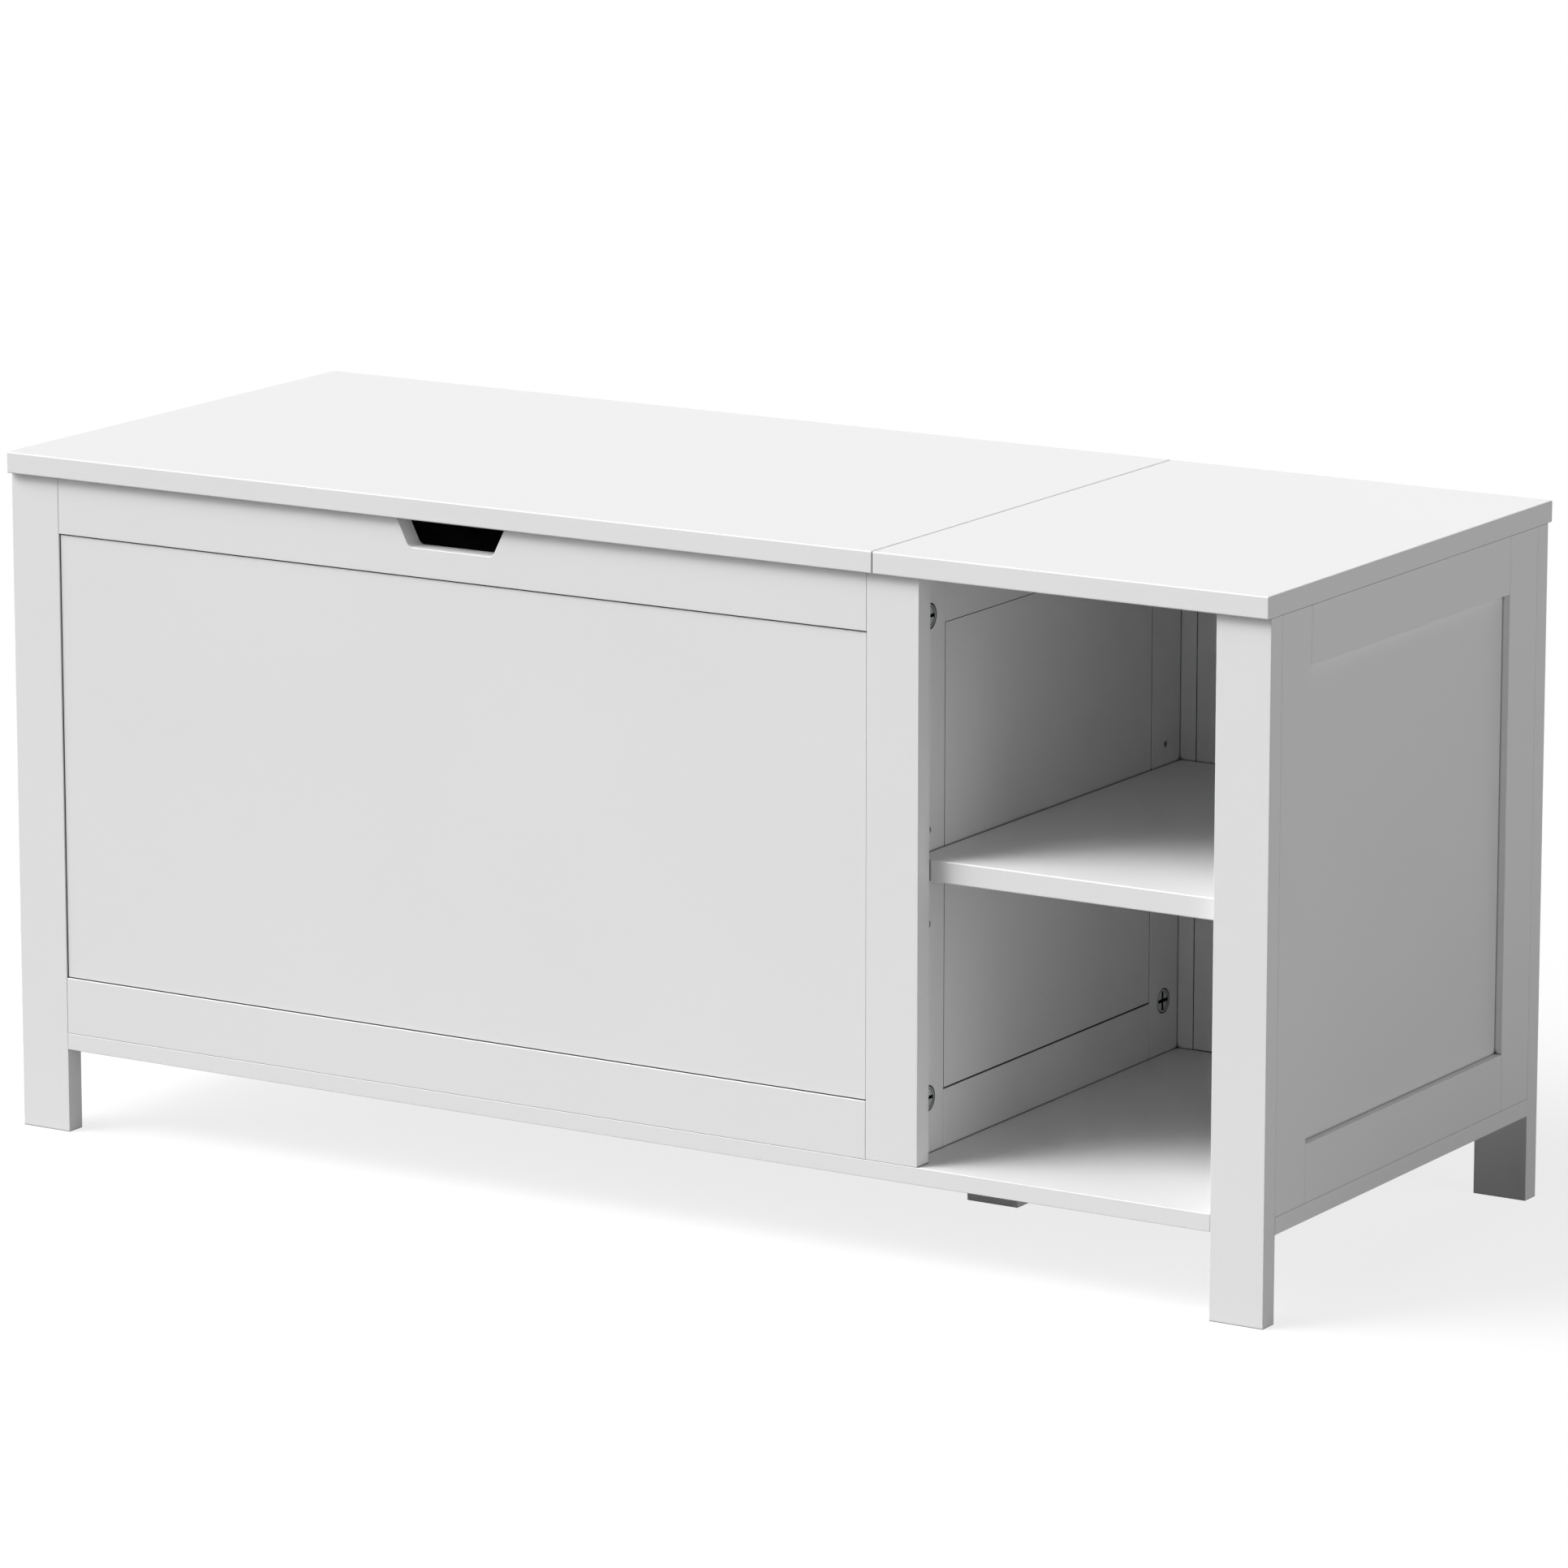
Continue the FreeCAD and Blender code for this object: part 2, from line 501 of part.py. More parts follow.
def cross_frame(prefix, face, inward):
    """A frame-and-panel wall across X: its recessed face is at face, its flush face on the inward side.

    Its panel is pushed home to the front and the top, so the open joints show at the back and the foot.
    """
    low_x = layer(face, inward, "0", "board_thickness")
    middle = f"({face} + {inward} * board_thickness / 2)"
    flush = f"({face} + {inward} * board_thickness)"
    into_board = "-X" if inward > 0 else "+X"
    span = f"({BACK_STILE_EDGE} - {FRONT_STILE_EDGE})"
    stiles = []
    for row, y_low, edge in (("front", FRONT_INSIDE, f"({FRONT_STILE_EDGE} - {GROOVE_DEPTH})"),
                             ("back", BACK_STILE_EDGE, BACK_STILE_EDGE)):
        extent = ("board_thickness", "stile_width", FRAME_HEIGHT)
        stile = board(f"{prefix}_{row}_stile", (low_x, y_low, FLOOR), extent)
        panel_groove_x(stile, face, inward, edge, GROOVE_DEPTH, STOPPED_LOW, STOPPED_SIZE)
        stiles.append(stile)
    rails = []
    for level, z_low, z_groove in (("bottom", FLOOR, STOPPED_LOW), ("top", HIGH_RAIL_FOOT, HIGH_RAIL_FOOT)):
        extent = ("board_thickness", span, "rail_height")
        rail = board(f"{prefix}_{level}_rail", (low_x, FRONT_STILE_EDGE, z_low), extent)
        panel_groove_x(rail, face, inward, FRONT_STILE_EDGE, span, z_groove, GROOVE_DEPTH)
        rails.append(rail)
    for rail, height in zip(rails, DOWEL_HEIGHTS):
        for stile, edge, to_stile, to_rail in ((stiles[0], FRONT_STILE_EDGE, "-Y", "+Y"),
                                               (stiles[1], BACK_STILE_EDGE, "+Y", "-Y")):
            dowel_bore(stile, (middle, edge, height), to_stile)
            dowel_bore(rail, (middle, edge, height), to_rail)
    for stile, y, edge, axis in ((stiles[0], STILE_MIDDLES[0], FRONT_INSIDE, "+Y"),
                                 (stiles[1], STILE_MIDDLES[1], BACK_INSIDE, "-Y")):
        for height in CAM_HEIGHTS:
            stile.blind_bore((flush, y, height), into_board, "cam_diameter", "cam_depth + cam_inset")
            stile.bore((middle, edge, height), axis, "bolt_diameter", "stile_width / 2")
    for y in WALL_SCREWS:
        bottom_screw_pilot(rails[0], (middle, y, FLOOR))
    panel_x = layer(face, inward, WALL_RECESS, "panel_thickness")
    y_low = f"({FRONT_STILE_EDGE} - {PANEL_SHIFT})"
    z_low = f"({LOW_RAIL_TOP} + {PANEL_SHIFT})"
    field = (panel_x, f"({y_low} + panel_gap)", f"({z_low} + panel_gap)")
    panel = Piece(f"{prefix}_panel", field)
    opening = f"({HIGH_RAIL_FOOT} - {LOW_RAIL_TOP})"
    panel.box(field, ("panel_thickness", f"{span} - 2 * panel_gap", f"{opening} - 2 * panel_gap"))
    tongue_x = layer(face, inward, "(board_thickness - tongue_thickness) / 2", "tongue_thickness")
    panel.box((tongue_x, f"({y_low} - tongue_depth)", f"({z_low} - tongue_depth)"),
              ("tongue_thickness", f"{span} + 2 * tongue_depth", f"{opening} + 2 * tongue_depth"))
    return stiles, rails


def shelf_holes(stiles, flush, into_board):
    """Three heights of shelf-pin holes in both stiles of a cubby wall."""
    for stile, y in zip(stiles, STILE_MIDDLES):
        for step in SHELF_HOLE_STEPS:
            height = f"({PIN_HEIGHT} + {step} * pin_spacing)"
            stile.bore((flush, y, height), into_board, "pin_diameter", "pin_depth")


def walls():
    """Both ends of the bench and the divider, with the holes that only some of them have."""
    left_rails = cross_frame("left", LEFT, 1)[1]
    right_stiles, right_rails = cross_frame("right", SIDE, -1)
    divider_stiles, divider_rails = cross_frame("divider", DIVIDER_FACE, 1)
    shelf_holes(divider_stiles, CUBBY_LEFT, "-X")
    shelf_holes(right_stiles, CUBBY_RIGHT, "+X")
    for rail, x in zip((divider_rails[1], right_rails[1]), FRAME_MIDDLES[1:]):
        for y in TOP_DOWELS:
            rail.blind_bore((x, y, CEILING), "-Z", "dowel_diameter", "top_dowel_sink")
    for rail, face, into_board in ((left_rails[1], STAY_WALLS["left"], "-X"),
                                   (divider_rails[1], STAY_WALLS["right"], "+X")):
        rail.blind_bore((face, STUD_Y, STUD_Z), into_board, "stud_shank", "stud_bite")


def bottom_screw_places():
    """Every screw that holds the bottom board, as points on its underside."""
    places = [(x, y) for x in FRAME_MIDDLES for y in WALL_SCREWS]
    places += [(x, y) for y in RAIL_LINES.values() for x in RAIL_SCREWS]
    return places


def bottom():
    """The bottom board, notched round the legs, and the support foot under it."""
    low = (LEFT, FRONT, "floor_clearance")
    base = board("bottom_board", low, (f"2 * {SIDE}", f"{BACK} - {FRONT}", "bottom_thickness"))
    for x in (LEFT, RIGHT_LEG_EDGE):
        for y in (FRONT, BACK_INSIDE):
            base.box((x, y, "floor_clearance"), ("leg_width", "board_thickness", "bottom_thickness"), True)
    for x, y in bottom_screw_places():
        base.countersunk((x, y, "floor_clearance"), "+Z", "screw", "bottom_thickness")
    foot_low = (f"({FOOT_MIDDLE} - foot_width / 2)", f"({FOOT_Y} - foot_thickness / 2)", "0")
    foot = board("centre_foot", foot_low, ("foot_width", "foot_thickness", "floor_clearance"))
    for x in FOOT_SCREWS:
        base.countersunk((x, FOOT_Y, FLOOR), "-Z", "screw", "bottom_thickness")
        below = "screw_length - bottom_thickness"
        foot.blind_bore((x, FOOT_Y, "floor_clearance"), "-Z", "screw_diameter", below)


def tops():
    """The hinged lid and the fixed top, which meet at the seam beside the divider."""
    lid = board("lid", ("(-bench_length / 2)", "(-bench_depth / 2)", CEILING),
                (f"{LID_RIGHT} + bench_length / 2", "bench_depth", "top_thickness"), "top_round")
    for middle in HINGE_MIDDLES:
        x_low = f"({middle} - leaf_length / 2 - hinge_pin_head_height - mortise_clearance)"
        x_size = "leaf_length + 2 * hinge_pin_head_height + 2 * mortise_clearance"
        leaf_edge = f"({HINGE_Y} - lid_leaf_reach - mortise_clearance)"
        knuckle_edge = f"({HINGE_Y} - knuckle_diameter / 2 - knuckle_gap)"
        lid.box((x_low, leaf_edge, CEILING), (x_size, f"bench_depth / 2 - {leaf_edge}", MORTISE_DEPTH), True)
        lid.box((x_low, knuckle_edge, CEILING),
                (x_size, f"bench_depth / 2 - {knuckle_edge}", "knuckle_diameter / 2 + knuckle_gap"), True)
        for x in leaf_screws(middle):
            fitting_screw_pilot(lid, (x, LID_LEAF_SCREW_Y, CEILING), "+Z")
    for end in STAY_WALLS:
        for x, y in bracket_screw_places(end):
            fitting_screw_pilot(lid, (x, y, CEILING), "+Z")
    fixed_low = (f"({SEAM} + seam_gap / 2)", "(-bench_depth / 2)", CEILING)
    fixed_extent = (f"bench_length / 2 - {fixed_low[0]}", "bench_depth", "top_thickness")
    fixed = board("fixed_top", fixed_low, fixed_extent, "top_round")
    for x in FRAME_MIDDLES[1:]:
        for y in TOP_DOWELS:
            fixed.blind_bore((x, y, CEILING), "+Z", "dowel_diameter", "top_dowel_bite")


def hinges():
    """Two butt hinges: a leaf let into the back rail, a leaf let into the lid, and the pin."""
    pitch = f"(leaf_length / {KNUCKLES})"
    for end, middle in zip(("left", "right"), HINGE_MIDDLES):
        x_low = f"({middle} - leaf_length / 2)"
        axis = (x_low, HINGE_Y, CEILING)
        carcass_edge = f"({BACK_INSIDE} + leaf_margin)"
        lid_edge = f"({HINGE_Y} - lid_leaf_reach)"
        under = f"({CEILING} - leaf_gap / 2 - leaf_thickness)"
        over = f"({CEILING} + leaf_gap / 2)"
        for label, own, other, edge, z_low, screw_y, screw_z, screw_axis in (
                (f"hinge_carcass_leaf_{end}", CARCASS_KNUCKLES, LID_KNUCKLES, carcass_edge, under,
                 RAIL_LINES["back"], f"({CEILING} - leaf_gap / 2)", "-Z"),
                (f"hinge_lid_leaf_{end}", LID_KNUCKLES, CARCASS_KNUCKLES, lid_edge, over,
                 LID_LEAF_SCREW_Y, over, "+Z")):
            leaf = Piece(label, axis)
            leaf.box((x_low, edge, z_low), ("leaf_length", f"{HINGE_Y} - {edge}", "leaf_thickness"))
            for knuckle in other:
                start = f"({x_low} + {knuckle} * {pitch} - knuckle_gap / 2)"
                leaf.rod((start, HINGE_Y, CEILING), "+X", "knuckle_diameter + 2 * knuckle_gap",
                         f"{pitch} + knuckle_gap", True)
            for knuckle in own:
                start = f"({x_low} + {knuckle} * {pitch} + knuckle_gap / 2)"
                leaf.rod((start, HINGE_Y, CEILING), "+X", "knuckle_diameter", f"{pitch} - knuckle_gap")
            leaf.bore(axis, "+X", "hinge_pin_diameter", "leaf_length")
            for x in leaf_screws(middle):
                leaf.countersunk((x, screw_y, screw_z), screw_axis, "fitting_screw", "leaf_thickness")
        pin = Piece(f"hinge_pin_{end}", (f"({x_low} - hinge_pin_head_height)", HINGE_Y, CEILING))
        pin.rod(pin.corner, "+X", "hinge_pin_diameter", "leaf_length + 2 * hinge_pin_head_height")
        for x in (pin.corner[0], f"({x_low} + leaf_length)"):
            pin.rod((x, HINGE_Y, CEILING), "+X", "hinge_pin_head", "hinge_pin_head_height")


def bracket_x(end):
    """Bracket tab's face towards the arm, and the sign that leads from the wall into the chest."""
    inward = 1 if end == "left" else -1
    return f"({STAY_WALLS[end]} + {inward} * ({STAY_STANDOFF} + arm_thickness + side_play))", inward


def bracket_screw_places(end):
    """Both screws of one lid bracket, as points on the lid's underside."""
    face, inward = bracket_x(end)
    x = f"({face} + {inward} * (bracket_thickness + bracket_reach) / 2)"
    return [(x, f"({PIVOT_Y} + {step} * (bracket_length / 2 - bracket_screw_inset))") for step in (-1, 1)]


def stays():
    """Two slotted arms that hold the lid open: each turns on a lid bracket and slides on a wall stud."""
    for end, wall in STAY_WALLS.items():
        face, inward = bracket_x(end)
        out, back = ("+X", "-X") if inward > 0 else ("-X", "+X")
        stud = Piece(f"stay_stud_{end}", (wall, STUD_Y, STUD_Z))
        stud.rod(stud.corner, out, "stud_collar", f"{STAY_STANDOFF} - side_play")
        stud.rod(stud.corner, out, "stud_diameter", f"{STAY_STANDOFF} + arm_thickness + side_play")
        stud.rod((face, STUD_Y, STUD_Z), out, "stud_head", "stud_head_height")
        stud.rod(stud.corner, back, "stud_shank", "stud_bite")

        bracket = Piece(f"stay_bracket_{end}", (face, PIVOT_Y, CEILING))
        tab_x = layer(face, inward, "0", "bracket_thickness")
        flange_x = layer(face, inward, "0", "bracket_reach")
        bracket.box((flange_x, f"({PIVOT_Y} - bracket_length / 2)", f"({CEILING} - bracket_thickness)"),
                    ("bracket_reach", "bracket_length", "bracket_thickness"))
        bracket.box((tab_x, f"({PIVOT_Y} - arm_width / 2)", PIVOT_Z),
                    ("bracket_thickness", "arm_width", PIVOT_DROP))
        bracket.rod((face, PIVOT_Y, PIVOT_Z), out, "arm_width", "bracket_thickness")
        bracket.bore((face, PIVOT_Y, PIVOT_Z), out, "rivet_diameter", "bracket_thickness")
        for x, y in bracket_screw_places(end):
            head = (x, y, f"({CEILING} - bracket_thickness)")
            bracket.countersunk(head, "+Z", "fitting_screw", "bracket_thickness")

        rivet_x = f"({wall} + {inward} * ({STAY_STANDOFF} - side_play))"
        rivet = Piece(f"stay_rivet_{end}", (rivet_x, PIVOT_Y, PIVOT_Z))
        rivet.rod(rivet.corner, out, "rivet_diameter", "arm_thickness + bracket_thickness + 2 * side_play")
        bracket_face = f"({face} + {inward} * bracket_thickness)"
        for x, side in ((rivet_x, back), (bracket_face, out)):
            rivet.rod((x, PIVOT_Y, PIVOT_Z), side, "rivet_head", "rivet_head_height")

        arm_x = layer(wall, inward, STAY_STANDOFF, "arm_thickness")
        arm = Piece(f"stay_arm_{end}", ("0", "0", "0"))
        far = f"({REACH_OPEN} + arm_spare + arm_end)"
        arm.box(("0", "(-arm_width / 2)", f"(-{far})"), ("arm_thickness", "arm_width", far))
        for z in ("0", f"(-{far})"):
            arm.rod(("0", "0", z), "+X", "arm_width", "arm_thickness")
        slot_width = "stud_diameter + 2 * fit_clearance"
        slot_top, slot_foot = f"(arm_spare - {REACH_CLOSED})", f"(-{REACH_OPEN} - arm_spare)"
        arm.box(("0", f"(-({slot_width}) / 2)", slot_foot),
                ("arm_thickness", slot_width, f"{slot_top} - {slot_foot}"), True)
        for z in (slot_top, slot_foot):
            arm.rod(("0", "0", z), "+X", slot_width, "arm_thickness", True)
        arm.bore(("0", "0", "0"), "+X", "rivet_diameter", "arm_thickness")
        put(arm.body, (arm_x, PIVOT_Y, PIVOT_Z), f"rotation(vector(1; 0; 0); {ARM_TILT})")


def shelf():
    """The adjustable shelf on four pins in the cubby's stiles."""
    low = (f"({CUBBY_LEFT} + shelf_clearance)", f"({FRONT_INSIDE} + shelf_clearance)",
           f"({PIN_HEIGHT} + pin_diameter / 2)")
    depth = f"{BACK_INSIDE} - {FRONT_INSIDE} - 2 * shelf_clearance"
    board("shelf", low, ("cubby_width - 2 * shelf_clearance", depth, "shelf_thickness"), "top_round")
    pin = Piece("shelf_pin", ("0", "0", "0"), kept=False)
    pin.rod(("(-pin_depth)", "0", "0"), "+X", "pin_diameter", "pin_length")
    places = [((CUBBY_LEFT, y, PIN_HEIGHT), TURNS["+Z"]) for y in STILE_MIDDLES]
    places += [((CUBBY_RIGHT, y, PIN_HEIGHT), HALF_TURN) for y in STILE_MIDDLES]
    group("shelf_pins", pin, places)


def screw(label, size):
    """A countersunk wood screw that points along +Z, with the top of its head at its origin."""
    item = Piece(label, ("0", "0", "0"), kept=False)
    shank = f"({size}_diameter)"
    point = f"({size}_length - {shank})"
    item.cone(("0", "0", "0"), "+Z", f"{size}_head", shank, f"{size}_head_height")
    item.rod(("0", "0", f"({size}_head_height)"), "+Z", shank, f"{point} - {size}_head_height")
    item.cone(("0", "0", point), "+Z", shank, f"{shank} / 4", shank)
    return item


def fasteners():
    """Cam locks, bolts, dowels and screws, each kind kept together."""
    cam_faces = ((f"({LEFT} + board_thickness - cam_inset)", TURNS["+Z"]),
                 (f"({CUBBY_LEFT} - cam_inset)", TURNS["+Z"]),
                 (f"({CUBBY_RIGHT} + cam_inset)", HALF_TURN))
    cam = Piece("cam_lock", ("0", "0", "0"), kept=False)
    cam.rod(("0", "0", "0"), "-X", "cam_diameter", "cam_depth")
    cam.box(("(-cam_slot_depth)", "(-cam_slot_width / 2)", "(-cam_slot_length / 2)"),
            ("cam_slot_depth", "cam_slot_width", "cam_slot_length"), True)
    cam.box(("(-cam_slot_depth)", "(-cam_slot_length / 2)", "(-cam_slot_width / 2)"),
            ("cam_slot_depth", "cam_slot_length", "cam_slot_width"), True)
    bolt_line = ("(cam_inset - board_thickness / 2)", "(-cam_diameter / 2)", "0")
    cam.bore(bolt_line, "+Y", "bolt_diameter", "cam_diameter")
    group("cam_locks", cam, [((face, y, z), turn) for face, turn in cam_faces
                             for y in STILE_MIDDLES for z in CAM_HEIGHTS])

    bolt = Piece("cam_bolt", ("0", "0", "0"), kept=False)
    bolt.rod(("0", "(-bolt_bite)", "0"), "+Y", "bolt_diameter", "bolt_bite + stile_width / 2")
    group("cam_bolts", bolt, [((x, y, z), turn) for x in FRAME_MIDDLES for z in CAM_HEIGHTS
                              for y, turn in ((FRONT_INSIDE, TURNS["+Z"]), (BACK_INSIDE, HALF_TURN))])

    dowel = Piece("dowel", ("0", "0", "0"), kept=False)
    dowel.rod(("(-dowel_length / 2)", "0", "0"), "+X", "dowel_diameter", "dowel_length")
    places = [((x, y, z), TURNS["+Z"]) for x in (LEFT_LEG_EDGE, MID_STILE_LEFT) for z in DOWEL_HEIGHTS
              for y in RAIL_LINES.values()]
    places += [((x, y, z), QUARTER_TURN) for x in FRAME_MIDDLES for z in DOWEL_HEIGHTS
               for y in (FRONT_STILE_EDGE, BACK_STILE_EDGE)]
    group("rail_dowels", dowel, places)

    top_dowel = Piece("top_dowel", ("0", "0", "0"), kept=False)
    top_dowel.rod(("0", "0", "(-top_dowel_sink)"), "+Z", "dowel_diameter", "top_dowel_sink + top_dowel_bite")
    places = [((x, y, CEILING), TURNS["+Z"]) for x in FRAME_MIDDLES[1:] for y in TOP_DOWELS]
    group("top_dowels", top_dowel, places)

    board_screw = screw("board_screw", "screw")
    places = [((x, y, "floor_clearance"), TURNS["+Z"]) for x, y in bottom_screw_places()]
    group("bottom_screws", board_screw, places)
    group("foot_screws", board_screw, [((x, FOOT_Y, FLOOR), TURNS["-Z"]) for x in FOOT_SCREWS])
    fitting_screw = screw("fitting_screw", "fitting_screw")
    xs = [x for middle in HINGE_MIDDLES for x in leaf_screws(middle)]
    group("hinge_carcass_screws", fitting_screw,
          [((x, RAIL_LINES["back"], f"({CEILING} - leaf_gap / 2)"), TURNS["-Z"]) for x in xs])
    group("hinge_lid_screws", fitting_screw,
          [((x, LID_LEAF_SCREW_Y, f"({CEILING} + leaf_gap / 2)"), TURNS["+Z"]) for x in xs])
    group("stay_bracket_screws", fitting_screw,
          [((x, y, f"({CEILING} - bracket_thickness)"), TURNS["+Z"])
           for end in STAY_WALLS for x, y in bracket_screw_places(end)])


def check_document():
    """Stops if any object failed or any shape is bad."""
    for item in doc.Objects:
        if "Invalid" in item.State or "Error" in item.State:
            raise RuntimeError(f"{item.Label} failed: {item.State}")
    for label, item in parts.items():
        if item.Shape.isNull() or not item.Shape.isValid() or not item.Shape.Solids:
            raise RuntimeError(f"{label} has no sound solid")


def write_parts():
    """Writes each piece to its own file."""
    os.makedirs("parts", exist_ok=True)
    for label, item in parts.items():
        item.Shape.exportStep(f"parts/{label}.step")
    print(len(parts), "pieces written")


write_sizes()
legs()
middle_stiles()
long_rails()
chest_and_cubby_panels()
walls()
bottom()
tops()
hinges()
stays()
shelf()
fasteners()
doc.recompute()
check_document()
write_parts()
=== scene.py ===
"""Looks of the white shoe storage bench: paint, metal and timber, its fittings, the light and the camera.

Everything is in metres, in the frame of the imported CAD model. The boards, hinges and stays are the CAD's own,
with better materials. Screws, cam locks, bolts, pins and dowels, plain rods in the CAD, are drawn by Geometry
Nodes.
"""

import json
import math

import bmesh
import bpy
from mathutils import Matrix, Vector

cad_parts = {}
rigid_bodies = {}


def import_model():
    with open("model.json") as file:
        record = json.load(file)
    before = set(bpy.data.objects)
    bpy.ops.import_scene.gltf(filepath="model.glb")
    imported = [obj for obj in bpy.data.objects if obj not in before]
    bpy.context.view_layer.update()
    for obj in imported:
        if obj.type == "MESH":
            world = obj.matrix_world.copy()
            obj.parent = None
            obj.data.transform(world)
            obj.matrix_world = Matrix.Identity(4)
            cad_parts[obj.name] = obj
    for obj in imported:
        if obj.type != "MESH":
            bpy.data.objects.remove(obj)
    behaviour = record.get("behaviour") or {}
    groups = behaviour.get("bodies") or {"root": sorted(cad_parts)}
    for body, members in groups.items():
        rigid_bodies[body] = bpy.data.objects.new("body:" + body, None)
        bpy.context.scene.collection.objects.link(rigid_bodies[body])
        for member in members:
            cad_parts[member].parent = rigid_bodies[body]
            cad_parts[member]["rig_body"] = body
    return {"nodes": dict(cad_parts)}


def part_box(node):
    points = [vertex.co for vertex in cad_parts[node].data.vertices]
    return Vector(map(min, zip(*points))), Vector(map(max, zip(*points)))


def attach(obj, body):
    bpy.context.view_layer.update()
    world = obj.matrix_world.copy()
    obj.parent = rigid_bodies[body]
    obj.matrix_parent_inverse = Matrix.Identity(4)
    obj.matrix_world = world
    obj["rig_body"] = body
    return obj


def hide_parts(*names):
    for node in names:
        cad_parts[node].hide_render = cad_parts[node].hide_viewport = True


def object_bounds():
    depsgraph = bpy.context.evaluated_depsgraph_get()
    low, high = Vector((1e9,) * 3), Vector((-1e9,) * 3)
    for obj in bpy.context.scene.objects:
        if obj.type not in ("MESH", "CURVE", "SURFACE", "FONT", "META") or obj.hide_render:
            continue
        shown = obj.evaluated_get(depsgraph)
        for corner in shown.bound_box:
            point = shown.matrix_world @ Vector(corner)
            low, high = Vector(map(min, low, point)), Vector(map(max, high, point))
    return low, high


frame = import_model()
cad_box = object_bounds()

MM = 0.001
X, Y, Z = Vector((1, 0, 0)), Vector((0, 1, 0)), Vector((0, 0, 1))

# Camera of the photograph: degrees right of the front and down, lens and sensor, aim and distance, in mm
CAMERA_AZIMUTH = 31.792
CAMERA_PITCH = 12.355
CAMERA_LENS = 193.36
CAMERA_SENSOR = 36
CAMERA_AIM = Vector((6.6, 11.14, 267.16))
CAMERA_DISTANCE = 5827.3

# Soft lamps: degrees right of the front, degrees above the floor, apparent width in degrees, strength
LAMPS = {
    "high_left_key": (-45, 50, 30, 1.58),
    "high_front_key": (-30, 50, 25, 0.40),
    "low_left_bank": (-60, 30, 45, 2.43),
    "low_right_fill": (80, 10, 45, 0.88),
    "low_back_fill": (180, 10, 45, 0.31),
}

# Floor: radius in metres, the grey that throws light back, and the glow and grey that together look white
FLOOR_RADIUS = 40
FLOOR_SIDES = 64
FLOOR_BOUNCE = "#8A8A8A"
FLOOR_GLOW = 0.8
FLOOR_GREY = "#7F7F7F"

# Patterns of the finishes, and how deep they are felt, in mm
SPRAY_PASS = 160
ORANGE_PEEL = 2.4
PEEL_DEPTH = 0.02
HANDLED_ARRIS = 1.5
ROLLING_LINE = 0.35
ROLLING_DEPTH = 0.01
PLATE_CLOUD = 9
CAST_GRAIN = 0.5
CAST_DEPTH = 0.03
DRUM_RUB = 4
BEECH_FLECK = 0.7
FLECK_DEPTH = 0.05
BEECH_RING = 3

# Stretch of a pattern along the metal's rolling and along the dowel
ROLLING_STRETCH = (0.04, 1.0, 1.0)
GRAIN_STRETCH = (1.0, 1.0, 0.12)

# Painted shade in gaps, inner corners, bores and the driver slot: how far off a wall counts, in mm,
# and the shares of open air from dark to clear
CREVICE_SHADE_REACH = 2
CREVICE_SHADE_AIR = (0.35, 0.85)
HOLE_SHADE_REACH = 6
HOLE_SHADE_AIR = (0.3, 0.45)
SLOT_SHADE_REACH = 8
SLOT_SHADE_AIR = (0.6, 0.92)
AIR_SAMPLES = 8
ARRIS_SAMPLES = 4

# Fittings, in mm
ROUND = 48
CAM_GAP = 0.5
CAM_CHAMFER = 0.5
CAM_RIM = 1.1
CAM_DISH = 0.35
CAM_SLOT = (13.4, 2.4, 3.2)
CAM_CENTRE = (4.6, 5.0)
CAM_BOLT_BORE = 6.4
BOLT_BITE = 11
BOLT_SHAFT = 4.6
BOLT_NECK = (3.0, 5.0)
BOLT_HEAD = 6
BOLT_PITCH = 2.0
PEG_RINGS = 40
PIN_CHAMFER = 0.6
DOWEL_FLUTES = 20
DOWEL_FLUTE_DEPTH = 0.35
DOWEL_CHAMFER = 1.2

# Screws, as shares of the head's width
BOARD_SCREW_HEAD = 0.3
FITTING_SCREW_HEAD = 0.22
SCREW_SHANK = 0.5
SCREW_PITCH = 0.25
SCREW_SLOT = (0.56, 0.13, 0.13)
SCREW_CENTRE = (0.24, 0.2)

# Where a screw's shank starts, as a share of the head's height, and its point, as a share of half its width
SCREW_INSET = 0.75
SCREW_POINT = 0.8

# Threads: groove depth as a share of the shank, rings of faces for each turn
THREAD_DEPTH = 0.3
THREAD_RINGS = 7

# Edges of a fitting that turn by more than this, in degrees, stay sharp
SHARP_EDGE = 30

# Points of one CAD solid that are nearer than this, in mm, are one point
WELD = 0.001


def linear(colour):
    """An sRGB hex colour such as #EFEFEE as linear RGBA."""
    channels = [int(colour[start:start + 2], 16) / 255 for start in (1, 3, 5)]
    return tuple(c / 12.92 if c <= 0.04045 else ((c + 0.055) / 1.055) ** 2.4 for c in channels) + (1.0,)


def add(tree, kind, inputs=None, **settings):
    """Adds a node. Settings are its properties; inputs are values, sockets, or lists of sockets to link."""
    made = tree.nodes.new(kind)
    for name, value in settings.items():
        setattr(made, name, value)
    for name, value in (inputs or {}).items():
        for source in value if isinstance(value, list) else [value]:
            if isinstance(source, bpy.types.NodeSocket):
                tree.links.new(source, made.inputs[name])
            else:
                made.inputs[name].default_value = source
    return made


def new_material(name):
    """A node material with its tree and its principled shader."""
    material = bpy.data.materials.new(name)
    material.use_nodes = True
    return material, material.node_tree, material.node_tree.nodes["Principled BSDF"]


def open_air(tree, reach, shares):
    """0 where a surface is shut in by walls within reach, in mm, and 1 where it lies open."""
    air = add(tree, "ShaderNodeAmbientOcclusion", {"Distance": reach * MM}, samples=AIR_SAMPLES).outputs["AO"]
    dark, clear = shares
    return add(tree, "ShaderNodeMapRange", {"Value": air, "From Min": dark, "From Max": clear}).outputs["Result"]


